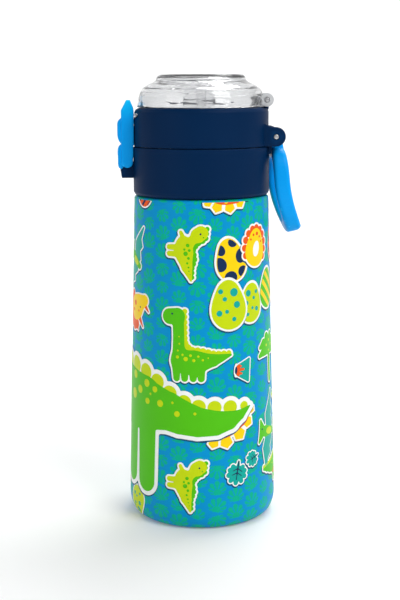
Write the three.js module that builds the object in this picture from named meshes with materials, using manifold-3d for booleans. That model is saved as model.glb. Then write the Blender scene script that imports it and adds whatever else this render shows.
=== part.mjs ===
// An insulated water bottle for children, as an assembly of separate pieces.
// Millimetres. The origin is the centre of the base on the bottle's axis and +Z points up.
// -X is the front, where the latch is. +X is the back, where the lid's hinge and the carry loop are.
import * as THREE from 'three';
import { mergeVertices } from 'three/addons/utils/BufferGeometryUtils.js';
import Module from 'manifold-3d';

const wasm = await Module();
wasm.setup();

// Driving dimensions
const GAP = 0.3; // between pieces that touch
const TURN = 40; // facets round the bottle
const ROUND = 20; // facets round a pin or a small tube
const WALL = 0.8; // steel sheet
const BASE = { radius: 37.6, edge: 10, edgeInset: 5, pad: 23.7 };
const SHOULDER = { radius: 33.6, z: 161.9 };
const NECK = { radius: 27.6, top: 182.4 };
const THREAD = { pitch: 4, turns: 1.25, z: 168.9, depth: 0.9 };
const COLLAR = { bottom: 164.3, top: 188, radius: 33.9, inner: 31 };
const DECK = { z: 185.1, opening: 10.5 };
const TOWER = { inner: 12, outer: 13.8, top: 196.1 };
const RING = { bottom: 188.3, top: 207, radius: 33.5, inner: 29.5 };
const LID_DECK = { z: 198.4, thick: 2 };
const COVER = { flange: 31.9, bottom: 207.35, top: 223.1, tier: 20.8 };
const HINGE = { x: 35.7, z: 193, pin: 1.2, bore: 1.5 };
const HINGE_SPANS = { loop: 6.2, knuckle: [6.5, 11.2], ear: [11.5, 15.5] };
const COVER_HINGE = { x: 31.5, z: 210.8, pin: 1.1, bore: 1.4, barrel: 3.35, post: 2.5, half: 12, lug: 5.5 };
const LATCH = { x: -36.9, z: 180.7, pin: 1, bore: 1.3, foot: 2.9, half: 5.5, slot: 3.4, pad: 4.4 };
const LATCH_SIDE = { back: -33.2, front: -39.8, grip: -41.7 };
const CATCH = { x: -32.6, z: 203.4, pin: 0.8, half: 7.7 };
const STRAW = { outer: 4.1, inner: 3.3, bottom: 13, top: 183.4 };

// Finishes
const NAVY = { color: 0x0c2c57, roughness: 0.42, metalness: 0 };
const AZURE = { color: 0x0a9bf0, roughness: 0.35, metalness: 0 };
const PRINT = { color: 0x1a8fcf, roughness: 0.35, metalness: 0.1 };
const STEEL = { color: 0xc4c6c8, roughness: 0.3, metalness: 1 };
const SILICONE = { color: 0xe6e9ea, roughness: 0.6, metalness: 0 };
const NATURAL = { color: 0xdfe5e8, roughness: 0.45, metalness: 0 };
const CLEAR = { color: 0xf2f6f8, roughness: 0.05, metalness: 0, transparent: true, opacity: 0.3 };
const DARK = { color: 0x3a3d40, roughness: 0.8, metalness: 0 };

// A closed geometry as a solid whose faces point out.
function solid(geometry) {
  geometry.deleteAttribute('normal');
  geometry.deleteAttribute('uv');
  const welded = mergeVertices(geometry, 1e-4);
  const positions = welded.getAttribute('position').array;
  const corner = (i) => new THREE.Vector3().fromArray(positions, 3 * i);
  const triangles = [];
  let volume = 0;
  for (let i = 0; i < welded.index.count; i += 3) {
    const [a, b, c] = welded.index.array.slice(i, i + 3);
    if (a === b || b === c || c === a) continue;
    triangles.push([a, b, c]);
    volume += corner(a).dot(corner(b).cross(corner(c)));
  }
  const facingOut = triangles.map(([a, b, c]) => (volume < 0 ? [a, c, b] : [a, b, c]));
  return new wasm.Manifold(new wasm.Mesh({
    numProp: 3,
    vertProperties: new Float32Array(positions),
    triVerts: new Uint32Array(facingOut.flat()),
  }));
}

// A closed [radius, z] profile turned about the bottle's axis.
function turned(profile, facets = TURN) {
  const points = profile.map(([r, z]) => new THREE.Vector2(r, z));
  const onAxis = profile[0][0] === 0 && profile.at(-1)[0] === 0;
  if (!onAxis) points.push(points[0].clone());
  return solid(new THREE.LatheGeometry(points, facets).rotateX(Math.PI / 2));
}

const ring = (inner, outer, low, high, facets = TURN) =>
  turned([[inner, low], [outer, low], [outer, high], [inner, high]], facets);

const disc = (radius, low, high, facets = TURN) =>
  turned([[0, low], [radius, low], [radius, high], [0, high]], facets);

// A round bar along Y.
function bar(radius, low, high, x, z, facets = ROUND) {
  const rod = new THREE.CylinderGeometry(radius, radius, high - low, facets);
  return solid(rod.translate(x, (low + high) / 2, z));
}

function box([x0, y0, z0], [x1, y1, z1]) {
  const block = new THREE.BoxGeometry(x1 - x0, y1 - y0, z1 - z0);
  return solid(block.translate((x0 + x1) / 2, (y0 + y1) / 2, (z0 + z1) / 2));
}

// A side outline in X and Z, as a plate between two places along Y.
function sidePlate(shape, low, high, curveSegments = 6) {
  const plate = new THREE.ExtrudeGeometry(shape, { depth: high - low, bevelEnabled: false, curveSegments });
  return solid(plate.rotateX(Math.PI / 2).translate(0, high, 0));
}

// A front outline in Y and Z, as a plate between two places along X.
function frontPlate(shape, low, high, curveSegments = 6) {
  const plate = new THREE.ExtrudeGeometry(shape, { depth: high - low, bevelEnabled: false, curveSegments });
  const toFront = new THREE.Matrix4().makeBasis(
    new THREE.Vector3(0, 1, 0), new THREE.Vector3(0, 0, 1), new THREE.Vector3(1, 0, 0));
  return solid(plate.applyMatrix4(toFront).translate(low, 0, 0));
}

const outline = (points) => new THREE.Shape(points.map(([a, b]) => new THREE.Vector2(a, b)));

// The same plate on both sides of the bottle's middle plane.
const bothSides = (make, [near, far]) => make(near, far).add(make(-far, -near));

// A right-handed rib round a wall, thinner at its crest than at its root.
function threadRib(rootRadius, crestRadius, startZ) {
  const steps = Math.round(TURN * THREAD.turns);
  const rib = new THREE.BoxGeometry(1, 1, 1, steps, 1, 1);
  const places = rib.getAttribute('position');
  const [rootWidth, crestWidth] = [1.6, 0.8];
  for (let i = 0; i < places.count; i += 1) {
    const along = places.getX(i) + 0.5;
    const out = places.getY(i) + 0.5;
    const radius = THREE.MathUtils.lerp(rootRadius, crestRadius, out);
    const width = THREE.MathUtils.lerp(rootWidth, crestWidth, out);
    const angle = along * THREAD.turns * 2 * Math.PI;
    const z = startZ + THREAD.pitch * THREAD.turns * along + width * places.getZ(i);
    places.setXYZ(i, radius * Math.cos(angle), radius * Math.sin(angle), z);
  }
  return solid(rib);
}

// The straight taper of the body, from the shoulder down to the top of the base's rounding.
const bodyRadius = (z) =>
  THREE.MathUtils.mapLinear(z, BASE.edge, SHOULDER.z, BASE.radius, SHOULDER.radius);

// Pressed steel shell: rounded base edge, tapered wall, shoulder and threaded neck.
function outerShell() {
  const centre = BASE.radius - BASE.edgeInset;
  const edge = (inset, count) => Array.from({ length: count }, (_, i) => {
    const a = (i / (count - 1)) * (Math.PI / 2);
    return [
      centre + (BASE.edgeInset - inset) * Math.sin(a),
      BASE.edge - (BASE.edge - GAP - inset) * Math.cos(a),
    ];
  });
  const neck = THREAD.z - 4;
  const outside = [...edge(0, 7), [SHOULDER.radius, SHOULDER.z], [33, 163.2], [31.4, 163.9], [NECK.radius, neck]];
  const inside = [...edge(WALL, 5), [SHOULDER.radius - WALL, SHOULDER.z - 0.4], [31, 163.1],
    [NECK.radius - WALL, neck - 0.4]];
  const bottomHole = 30;
  const profile = [
    [bottomHole, GAP], ...outside, [NECK.radius, NECK.top - GAP],
    [NECK.radius - WALL, NECK.top - GAP], ...inside.reverse(), [bottomHole, GAP + WALL],
  ];
  return turned(profile).add(threadRib(NECK.radius - GAP, NECK.radius + THREAD.depth, THREAD.z));
}

// Steel cap that closes the shell below, with a shallow recess for the pad.
function outerBase() {
  const recess = BASE.pad + GAP;
  return turned([
    [1.9, 1.9], [recess, 1.9], [recess + 0.8, 0.4], [29.7, 0.4], [29.7, 1.4], [recess + 1.4, 1.4],
    [recess + 0.8, 2.8], [1.9, 2.8],
  ]);
}

function basePad() {
  return turned([[0, 0], [BASE.pad - 0.6, 0], [BASE.pad, 0.6], [BASE.pad, 1.6], [0, 1.6]]);
}

// Stem through the evacuation hole, with a wide head on the vacuum side.
function vacuumSeal() {
  return turned([[0, 1.9], [1.6, 1.9], [1.6, 3.1], [3.4, 3.1], [3.4, 4], [0, 4]], ROUND);
}

function getter() {
  return turned([[0, 5.2], [5, 5.2], [6, 6.6], [0, 6.6]], ROUND).translate([14, 0, 0]);
}

// Steel liner: wide inside the body, narrow in the neck, with its lip rolled over the shell's mouth.
function innerFlask() {
  const neck = NECK.radius - WALL - GAP;
  const space = 3.4;
  const low = 20;
  const [top, bottom] = [bodyRadius(158.4) - space, bodyRadius(low) - space];
  return turned([
    [0, 7], [bottom - 8, 7], [bottom - 2.6, 9.6], [bottom, low], [top, 158.4], [top - 1.6, 161.2],
    [neck, 163.6], [neck, NECK.top], [NECK.radius, NECK.top], [NECK.radius, NECK.top + 0.6],
    [neck - WALL, NECK.top + 0.6], [neck - WALL, 163.4], [top - 2.2, 160.4], [top - WALL, 158],
    [bottom - WALL, low], [bottom - 3.2, 10.2], [bottom - 8.2, 7.8], [0, 7.8],
  ]);
}

function neckGasket() {
  return ring(25.2, 28.2, NECK.top + 0.9, DECK.z - GAP);
}

// The lower ring: a navy sleeve with the latch's bracket in front and two hinge knuckles behind.
function collarShell() {
  const { bottom, top, radius, inner } = COLLAR;
  const sleeve = turned([
    [inner, bottom], [radius - 2, bottom], [radius - 0.6, bottom + 0.5], [radius, bottom + 1.8],
    [radius - 0.3, top - 0.5], [radius - 0.7, top], [inner, top],
  ]);
  const bracket = new THREE.Shape();
  bracket.moveTo(-inner - 1, 172.7);
  bracket.lineTo(LATCH_SIDE.front, 172.7);
  bracket.lineTo(LATCH_SIDE.front - 0.7, 177);
  bracket.absarc(LATCH.x, LATCH.z, 2.5, Math.PI, 0, true);
  bracket.lineTo(-inner - 1, LATCH.z);
  const boss = sidePlate(bracket, GAP - LATCH.slot, LATCH.slot - GAP);
  const knuckle = new THREE.Shape();
  knuckle.moveTo(inner + 0.6, 183.9);
  knuckle.lineTo(33.9, 185);
  knuckle.absarc(HINGE.x, HINGE.z, 4, -2, Math.PI * 0.97, false);
  knuckle.lineTo(inner + 0.6, 188.4);
  const knuckles = bothSides((a, b) => sidePlate(knuckle, a, b), HINGE_SPANS.knuckle);
  return sleeve.add(boss).add(knuckles)
    .subtract(ring(20, inner, 172.4, 189.4))
    .subtract(bar(HINGE.bore, -20, 20, HINGE.x, HINGE.z))
    .subtract(bar(LATCH.bore, -20, 20, LATCH.x, LATCH.z));
}

// Inner moulding of the collar: threaded skirt, deck and the raised drinking rim.
function threadInsert() {
  const skirt = NECK.radius + THREAD.depth + 0.7;
  const outer = COLLAR.inner - GAP;
  const { z, opening } = DECK;
  const body = turned([
    [skirt, COLLAR.bottom + 0.8], [outer, COLLAR.bottom + 0.8], [outer, COLLAR.top], [TOWER.outer, COLLAR.top],
    [TOWER.outer, TOWER.top - 0.5], [TOWER.outer - 0.5, TOWER.top], [TOWER.inner, TOWER.top],
    [TOWER.inner, COLLAR.top], [opening, COLLAR.top], [opening, z], [skirt, z],
  ]);
  const rib = threadRib(skirt + 0.2, skirt - 1.2, THREAD.z + THREAD.pitch / 2);
  return body.add(rib);
}

// A tube for the straw, held by three arms that stand on the ledge of the drinking opening.
function strawHolder() {
  const low = COLLAR.top + GAP;
  const arms = [0, 1, 2].map((i) => box([2.6, -1.2, low], [TOWER.inner - 0.4, 1.2, low + 2]).rotate([0, 0, 120 * i]));
  const hub = turned([[2, 175.4], [2.6, 175.4], [3, 178.4], [3, low], [3.6, low], [3.6, 195.4], [2, 195.4]], ROUND);
  const bore = disc(2, 172.4, 198.4, ROUND);
  return arms.reduce((whole, arm) => whole.add(arm), hub).subtract(bore);
}

const straw = () => ring(STRAW.inner, STRAW.outer, STRAW.bottom, STRAW.top, ROUND);

// The upper ring: a navy sleeve with an inner ledge, the ears of the main hinge and the lug of the cover's hinge.
function lidRing() {
  const { bottom, top, radius, inner } = RING;
  const ledge = LID_DECK.z - GAP;
  const sleeve = turned([
    [inner, bottom], [radius - 0.2, bottom], [radius, bottom + 0.4], [radius, top - 1.2], [radius - 0.6, top],
    [inner, top], [inner, ledge], [inner - 2, ledge], [inner, ledge - 2],
  ]);
  const ear = new THREE.Shape();
  ear.moveTo(27, HINGE.z - 4.7);
  ear.lineTo(HINGE.x, HINGE.z - 4.7);
  ear.absarc(HINGE.x, HINGE.z, 4.7, -Math.PI / 2, Math.PI / 2, false);
  ear.lineTo(33, HINGE.z + 4.9);
  ear.lineTo(27, HINGE.z + 8);
  const ears = bothSides((a, b) => sidePlate(ear, a, b), HINGE_SPANS.ear);
  const { x, z, lug } = COVER_HINGE;
  const post = new THREE.Shape();
  post.moveTo(29.2, top - 1);
  post.lineTo(33, top - 1);
  post.absarc(x, z, COVER_HINGE.post, -0.6, Math.PI + 0.3, false);
  const room = HINGE_SPANS.ear[0] - GAP / 2;
  return sleeve.add(ears.subtract(disc(inner, bottom - 2, top)))
    .add(sidePlate(post, -lug, lug))
    .subtract(bar(4.4, -room, room, HINGE.x, HINGE.z, 28))
    .subtract(box([31.3, -room, bottom - 1], [40, room, HINGE.z]))
    .subtract(bar(HINGE.bore, -20, 20, HINGE.x, HINGE.z))
    .subtract(bar(COVER_HINGE.bore, -20, 20, x, z))
    .subtract(bar(CATCH.pin + GAP, -12, 12, CATCH.x, CATCH.z, 12))
    .subtract(box([-36, -3.4, 198], [-30.6, 3.4, 205]))
    .subtract(thumbScoop());
}

// The slope in the top edge of the upper ring, where a thumb lifts the cover.
function thumbScoop() {
  const cut = outline([[-36, 202], [-33.6, 203.6], [-32.4, RING.top - 0.9], [-30.4, RING.top + 0.1], [-36, RING.top + 2]]);
  return sidePlate(cut, -11, 11);
}

// Plate inside the upper ring, with the holes for the mouthpiece and the air valve.
function lidDeck() {
  const { z, thick } = LID_DECK;
  const plate = ring(5.2, RING.inner - GAP, z, z + thick);
  return plate.subtract(disc(1.8, z - 1, z + 4, 12).translate([19, 0, 0]));
}

function spoutGasket() {
  return ring(TOWER.inner - 1, TOWER.outer + 1.4, TOWER.top + GAP, LID_DECK.z - GAP);
}

// Soft spout: a stem through the deck, a flange on it and an oval bite end, bored through.
function mouthpiece() {
  const base = LID_DECK.z + LID_DECK.thick + GAP;
  const stem = turned([[0, 195.8], [4.6, 195.8], [4.9, 197.4], [4.9, base], [11, base], [11, base + 1.4], [9, base + 2],
    [0, base + 2]], 28);
  const bite = new THREE.CylinderGeometry(5.4, 7.4, 15, 28).rotateX(Math.PI / 2);
  const oval = solid(bite.scale(1.25, 0.85, 1).translate(-1, 0, base + 9));
  const bore = disc(2.2, 192.4, 222.4, 16);
  return stem.add(oval).subtract(bore);
}

function ventValve() {
  const top = LID_DECK.z + LID_DECK.thick + GAP;
  const low = LID_DECK.z - GAP;
  return turned([[0, low - 1.6], [1.2, low - 1.4], [2.4, low], [1.4, low], [1.4, top], [3.2, top], [2.6, top + 1],
    [0, top + 1.3]], ROUND).translate([19, 0, 0]);
}

// Two-tier clear dome with a rim flange, open at the back for the ring's lug, and two hinge barrels.
function clearCover() {
  const { flange, bottom, top, tier } = COVER;
  const dome = turned([
    [flange - 2.2, bottom], [flange, bottom], [flange, bottom + 1.3], [31.4, bottom + 2], [31, 212], [30.2, 214.8],
    [28.9, 216.7], [27, 218.1], [24, 219.4], [22.4, 220.3], [21.8, 222.2], [tier, top], [0, top], [0, top - 2],
    [19.9, top - 2], [20.6, 218.8], [25, 216.9], [27.4, 215.3], [28.8, 212.4], [29.4, bottom + 1.6],
  ]);
  const { x, z, bore, barrel, half, lug } = COVER_HINGE;
  const room = lug + GAP + 0.1;
  const barrels = bothSides((a, b) => bar(barrel, a, b, x, z, 24), [room, half]);
  return dome
    .subtract(bar(3.7, -room, room, x, z, 24))
    .subtract(box([27.4, -room, bottom - 1], [40, room, z]))
    .add(barrels)
    .subtract(bar(bore, -20, 20, x, z));
}

// Upright bar with a pointed thumb tip, two grip pads in front, a forked foot on its pin, and a hollow back
// that follows the rings.
function latch() {
  const { x, z, bore, foot, half, slot, pad } = LATCH;
  const { back, front, grip } = LATCH_SIDE;
  const side = new THREE.Shape();
  side.moveTo(-37.1, 210.9);
  side.lineTo(-35.2, 210.9);
  side.lineTo(back - 0.3, 206.8);
  side.lineTo(back, 205.4);
  side.lineTo(back, 185.4);
  side.lineTo(x + foot, 182.4);
  side.absarc(x, z, foot, 0, -Math.PI, true);
  side.lineTo(front, 205.8);
  const pads = new THREE.Shape();
  pads.moveTo(front + 1, 178);
  pads.lineTo(front, 177);
  pads.quadraticCurveTo(grip, 177.4, grip, 179.9);
  pads.lineTo(grip, 185.4);
  pads.quadraticCurveTo(grip, 188.4, front, 189.4);
  pads.quadraticCurveTo(grip, 191.4, grip, 194.4);
  pads.lineTo(grip, 198.8);
  pads.quadraticCurveTo(grip, 201, front, 202);
  pads.lineTo(front + 1, 202);
  const nose = outline([[back - 1.6, 198.6], [back - 1.6, 201.6], [-31.4, 201.4], [-31.4, 200]]);
  return sidePlate(side, -half, half, 4)
    .add(sidePlate(pads, -pad, pad, 4))
    .subtract(disc(COLLAR.radius + GAP, 172.4, 188.9, 96))
    .subtract(disc(RING.radius + GAP, 188.3, 212.4, 96))
    .add(sidePlate(nose, -3, 3))
    .subtract(box([-43, -slot, 172.4], [-30, slot, z + 3.2]))
    .subtract(bar(bore, -half + 0.4, half - 0.4, x, z));
}

// Closed finger loop that hangs on the hinge pin and curves away from the bottle towards its end.
function carryLoop() {
  const side = new THREE.Shape();
  side.moveTo(HINGE.x - 3.9, HINGE.z);
  side.absarc(HINGE.x, HINGE.z, 3.9, Math.PI, 0, true);
  side.bezierCurveTo(41.4, 185.4, 42.3, 178.4, 42.9, 171.4);
  side.bezierCurveTo(43.7, 162.4, 46.6, 155.4, 49.6, 148.4);
  side.quadraticCurveTo(49.4, 146.4, 48.2, 145.8);
  side.lineTo(43.9, 144.2);
  side.quadraticCurveTo(42.8, 144.4, 42.2, 146.2);
  side.bezierCurveTo(38.9, 154, 35.8, 162.4, 35.2, 171.4);
  side.bezierCurveTo(34.9, 175.4, 34.6, 179.4, 34.6, 185.4);
  side.quadraticCurveTo(34.6, 188, HINGE.x - 3.9, 189.8);
  const front = new THREE.Shape();
  const { loop } = HINGE_SPANS;
  front.moveTo(-loop, 198.4);
  front.lineTo(-loop, 187.4);
  front.bezierCurveTo(-13, 186.8, -15.8, 180.4, -15.8, 169.4);
  front.bezierCurveTo(-15.8, 154.4, -9, 143.7, 0, 143.7);
  front.bezierCurveTo(9, 143.7, 15.8, 154.4, 15.8, 169.4);
  front.bezierCurveTo(15.8, 180.4, 13, 186.8, loop, 187.4);
  front.lineTo(loop, 198.4);
  const hole = new THREE.Path();
  hole.moveTo(0, 182);
  hole.bezierCurveTo(8, 182, 11.4, 178.4, 11.4, 169.4);
  hole.bezierCurveTo(11.4, 157.4, 6.5, 150.4, 0, 150.4);
  hole.bezierCurveTo(-6.5, 150.4, -11.4, 157.4, -11.4, 169.4);
  hole.bezierCurveTo(-11.4, 178.4, -8, 182, 0, 182);
  front.holes.push(hole);
  return sidePlate(side, -17, 17, 8)
    .intersect(frontPlate(front, 25, 55, 8))
    .subtract(bar(HINGE.bore, -20, 20, HINGE.x, HINGE.z));
}

const hingePin = () => bar(HINGE.pin, -15.6, 15.6, HINGE.x, HINGE.z);
const coverPin = () => bar(COVER_HINGE.pin, -12.2, 12.2, COVER_HINGE.x, COVER_HINGE.z);
const latchPin = () => bar(LATCH.pin, -4.8, 4.8, LATCH.x, LATCH.z);
const catchPin = () => bar(CATCH.pin, -CATCH.half, CATCH.half, CATCH.x, CATCH.z, 12);

const PIECES = {
  outer_shell: [outerShell, PRINT],
  outer_base: [outerBase, STEEL],
  base_pad: [basePad, DARK],
  vacuum_seal: [vacuumSeal, STEEL],
  getter: [getter, STEEL],
  inner_flask: [innerFlask, STEEL],
  neck_gasket: [neckGasket, SILICONE],
  collar_shell: [collarShell, NAVY],
  thread_insert: [threadInsert, NATURAL],
  straw_holder: [strawHolder, NATURAL],
  straw: [straw, NATURAL],
  latch_pin: [latchPin, STEEL],
  hinge_pin: [hingePin, STEEL],
  lid_ring: [lidRing, NAVY],
  lid_deck: [lidDeck, NAVY],
  spout_gasket: [spoutGasket, SILICONE],
  mouthpiece: [mouthpiece, CLEAR],
  vent_valve: [ventValve, SILICONE],
  catch_pin: [catchPin, STEEL],
  cover_pin: [coverPin, STEEL],
  clear_cover: [clearCover, CLEAR],
  latch: [latch, AZURE],
  carry_loop: [carryLoop, AZURE],
};

const group = new THREE.Group();
for (const [name, [make, finish]] of Object.entries(PIECES)) {
  const { vertProperties, triVerts } = make().getMesh();
  const geometry = new THREE.BufferGeometry();
  geometry.setAttribute('position', new THREE.BufferAttribute(vertProperties, 3));
  geometry.setIndex(new THREE.BufferAttribute(triVerts, 1));
  geometry.computeVertexNormals();
  const mesh = new THREE.Mesh(geometry, new THREE.MeshStandardMaterial(finish));
  mesh.name = name;
  group.add(mesh);
}
export default group;
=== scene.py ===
"""An insulated steel bottle for children: printed body, flip lid with a clear cover, latch and carry loop.

Sizes are in millimetres and become metres where a mesh is made. The bottle stands on z = 0, its axis on Z.
The latch is at -X, the hinge and the carry loop are at +X, and the printed face looks towards -Y.
"""

import math
from itertools import product

import bmesh
import bpy
import numpy as np
from mathutils import Matrix, Vector


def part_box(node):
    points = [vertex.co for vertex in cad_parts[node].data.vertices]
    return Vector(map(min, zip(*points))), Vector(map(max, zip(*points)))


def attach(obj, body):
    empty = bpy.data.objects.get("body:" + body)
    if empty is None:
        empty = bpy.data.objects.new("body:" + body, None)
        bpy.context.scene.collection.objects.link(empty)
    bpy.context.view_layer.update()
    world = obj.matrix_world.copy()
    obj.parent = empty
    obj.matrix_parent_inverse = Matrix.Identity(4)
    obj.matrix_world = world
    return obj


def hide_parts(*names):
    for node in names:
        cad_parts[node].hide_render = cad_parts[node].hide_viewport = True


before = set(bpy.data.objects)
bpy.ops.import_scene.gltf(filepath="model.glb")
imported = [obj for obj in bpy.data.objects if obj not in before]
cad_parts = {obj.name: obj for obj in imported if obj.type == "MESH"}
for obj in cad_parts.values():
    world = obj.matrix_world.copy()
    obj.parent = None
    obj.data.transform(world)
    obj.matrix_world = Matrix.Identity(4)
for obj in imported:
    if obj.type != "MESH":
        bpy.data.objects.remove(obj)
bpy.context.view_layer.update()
MM = 0.001


# --- Camera -------------------------------------------------------------------------------------------------
# A short portrait lens at a little above the lid's height, tipped down so that the whole bottle fills the
# upright picture, and standing a few degrees round towards the latch.
CAMERA_REACH = 580
CAMERA_HEIGHT = 216.4
CAMERA_ROUND = -4
CAMERA_TIP = 10.4
CAMERA_PAN = 0.085
CAMERA_ROLL = -0.2

camera_data = bpy.data.cameras.new("camera")
camera_data.sensor_width = 36
camera_data.lens = 69.2
camera = bpy.data.objects.new("camera", camera_data)
bpy.context.scene.collection.objects.link(camera)
bpy.context.scene.camera = camera
round_angle = math.radians(CAMERA_ROUND)
camera.matrix_world = (
    Matrix.Translation(Vector((
        CAMERA_REACH * math.sin(round_angle), -CAMERA_REACH * math.cos(round_angle), CAMERA_HEIGHT)) * MM)
    @ Matrix.Rotation(math.radians(CAMERA_ROUND + CAMERA_PAN), 4, "Z")
    @ Matrix.Rotation(math.radians(90 - CAMERA_TIP), 4, "X")
    @ Matrix.Rotation(math.radians(CAMERA_ROLL), 4, "Z")
)


# --- Studio floor and light ---------------------------------------------------------------------------------
# A white sheet that lies flat under the bottle and curves up behind it, lit by four soft boxes: a key high on
# the right, a weak fill on the left, one overhead, and a strip that brightens the sheet behind the cover.
bpy.context.scene.view_settings.view_transform = "Standard"


def node(tree, kind, inputs=None, **settings):
    """A new shader node, with its settings and the numbers on its own sockets."""
    made = tree.nodes.new(kind)
    for key, value in settings.items():
        setattr(made, key, value)
    for key, value in (inputs or {}).items():
        made.inputs[key].default_value = value
    return made


def new_material(name, color, roughness, **sockets):
    """A material with a Principled shader, and its node tree and shader."""
    made = bpy.data.materials.new(name)
    made.use_nodes = True
    shader = made.node_tree.nodes["Principled BSDF"]
    shader.inputs["Base Color"].default_value = (*color, 1)
    shader.inputs["Roughness"].default_value = roughness
    for key, value in sockets.items():
        shader.inputs[key.replace("_", " ")].default_value = value
    return made, made.node_tree, shader


def bumped(tree, shader, height, strength, depth):
    """A bump of a depth in millimetres, from another node's output."""
    bump = node(tree, "ShaderNodeBump", {"Strength": strength, "Distance": depth * MM})
    tree.links.new(height, bump.inputs["Height"])
    tree.links.new(bump.outputs["Normal"], shader.inputs["Normal"])


def new_object(name, vertices, faces, material=None):
    """An object from corners in millimetres and lists of corner numbers."""
    mesh = bpy.data.meshes.new(name)
    mesh.from_pydata(np.asarray(vertices, float) * MM, [], faces)
    mesh.validate()
    made = bpy.data.objects.new(name, mesh)
    bpy.context.scene.collection.objects.link(made)
    if material:
        mesh.materials.append(material)
    return made


def smooth_shaded(piece, sharp_above=38):
    """Smooth shading that stays crisp where two faces meet at more than an angle in degrees."""
    mesh = piece.data
    mesh.polygons.foreach_set("use_smooth", np.ones(len(mesh.polygons), bool))
    mesh.set_sharp_from_angle(angle=math.radians(sharp_above))
    return piece


def backdrop():
    """The sheet's side view, swept to both sides."""
    bend, rise, half_width = 500, 2600, 3500
    front, back = -3000, 1400
    line = [(front + (back - front) * i / 12, 0) for i in range(12)]
    line += [
        (back + bend * math.sin(a), bend * (1 - math.cos(a)))
        for a in np.linspace(0, math.pi / 2, 16)
    ]
    line += [(back + bend, bend + (rise - bend) * i / 4) for i in range(1, 5)]
    corners = [(side * half_width, y, z) for y, z in line for side in (-1, 1)]
    faces = [(2 * i, 2 * i + 1, 2 * i + 3, 2 * i + 2) for i in range(len(line) - 1)]
    paper, tree, shader = new_material(
        "paper", (0.8, 0.8, 0.8), 0.75, Emission_Color=(1, 1, 1, 1), Emission_Strength=0.1)
    fibre = node(tree, "ShaderNodeTexNoise", {"Scale": 900, "Detail": 3})
    place = node(tree, "ShaderNodeTexCoord")
    tree.links.new(place.outputs["Object"], fibre.inputs["Vector"])
    bumped(tree, shader, fibre.outputs["Fac"], 0.04, 0.2)
    return smooth_shaded(new_object("floor", corners, faces, paper))


backdrop()


def soft_box(name, place, size, power, aim=(0, 0, 110)):
    """A rectangular area light that looks at a point."""
    data = bpy.data.lights.new(name, "AREA")
    data.shape = "RECTANGLE"
    data.size, data.size_y = (side * MM for side in size)
    data.energy = power
    made = bpy.data.objects.new(name, data)
    bpy.context.scene.collection.objects.link(made)
    made.location = Vector(place) * MM
    made.rotation_euler = (Vector(aim) - Vector(place)).to_track_quat("-Z", "Y").to_euler()


soft_box("key_light", (900, -1100, 1300), (900, 900), 17)
soft_box("fill_light", (-1300, -900, 700), (900, 1200), 4)
soft_box("top_light", (450, 550, 1400), (900, 600), 13)
soft_box("backdrop_light", (0, 700, 1200), (2600, 500), 14, (0, 1900, 150))

world = bpy.data.worlds.new("studio")
bpy.context.scene.world = world
world.use_nodes = True
world.node_tree.nodes["Background"].inputs["Color"].default_value = (0.97, 0.98, 1, 1)
world.node_tree.nodes["Background"].inputs["Strength"].default_value = 0.4


# --- Body ---------------------------------------------------------------------------------------------------
# The outer shell is pressed from steel sheet, tapered to suit the hand, with a round edge at the foot and a
# rolled thread on the neck. It is powder coated in blue, with a leaf pattern in a second, greener blue.
GAP = 0.3  # room between neighbouring pieces
WALL = 0.8  # steel sheet
FOOT = {"edge": 10, "inset": 5, "low": 0.3, "hole": 30}
BODY = {"radius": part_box("outer_shell")[1].x / MM, "top_radius": 33.6, "top": 162.9}
NECK = {"radius": 27.6, "top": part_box("outer_shell")[1].z / MM, "low": 164.9}
THREAD = {"pitch": 4, "turns": 1.25, "low": 168.9, "depth": 0.9}
FACETS = 240  # round the bottle


def rounded(profile, radius, steps=4):
    """A closed profile with its corners eased. Corners on the axis stay."""
    points = []
    count = len(profile)
    for i, corner in enumerate(profile):
        here = Vector(corner)
        before, after = Vector(profile[i - 1]) - here, Vector(profile[(i + 1) % count]) - here
        turn = before.angle(-after, 0)
        if corner[0] == 0 or turn < math.radians(8):
            points.append(tuple(here))
            continue
        cut = min(radius * math.tan(turn / 2), 0.45 * before.length, 0.45 * after.length)
        start, end = here + before.normalized() * cut, here + after.normalized() * cut
        for k in range(steps + 1):
            t = k / steps
            points.append(tuple(start * (1 - t) ** 2 + here * 2 * t * (1 - t) + end * t * t))
    return points


def turned(name, profile, ease=0.3, facets=FACETS, material=None):
    """A closed [radius, z] profile turned about Z, with one corner for each point on the axis."""
    points = rounded(profile, ease) if ease else profile
    corners, rows = [], []
    for radius, z in points:
        rows.append((len(corners), radius == 0))
        around = [0] if radius == 0 else range(facets)
        corners += [
            (radius * math.cos(math.tau * k / facets), radius * math.sin(math.tau * k / facets), z)
            for k in around
        ]
    faces = []
    on_axis = points[0][0] == 0 and points[-1][0] == 0
    pairs = list(zip(rows, rows[1:])) + ([] if on_axis else [(rows[-1], rows[0])])
    for (low, low_pole), (high, high_pole) in pairs:
        for k in range(facets):
            n = (k + 1) % facets
            a = [low] if low_pole else [low + k, low + n]
            b = [high] if high_pole else [high + n, high + k]
            if len(a) + len(b) > 2:
                faces.append(a + b)
    made = new_object(name, corners, faces, material)
    facing_out(made)
    return smooth_shaded(made)


def facing_out(piece):
    """All faces of a closed mesh turned outwards."""
    shape = bmesh.new()
    shape.from_mesh(piece.data)
    bmesh.ops.recalc_face_normals(shape, faces=shape.faces)
    shape.to_mesh(piece.data)
    shape.free()


def combined(piece, others, operation):
    """piece joined with, or cut by, each of the others."""
    for other in others:
        change = piece.modifiers.new(operation, "BOOLEAN")
        change.operation = operation
        change.solver = "EXACT"
        change.object = other
        bpy.context.view_layer.update()
        shown = piece.evaluated_get(bpy.context.evaluated_depsgraph_get())
        result = bpy.data.meshes.new_from_object(shown)
        piece.modifiers.clear()
        old = piece.data
        piece.data = result
        bpy.data.meshes.remove(old)
        result.name = piece.name
    for other in others:
        bpy.data.objects.remove(other)
    return piece


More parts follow.
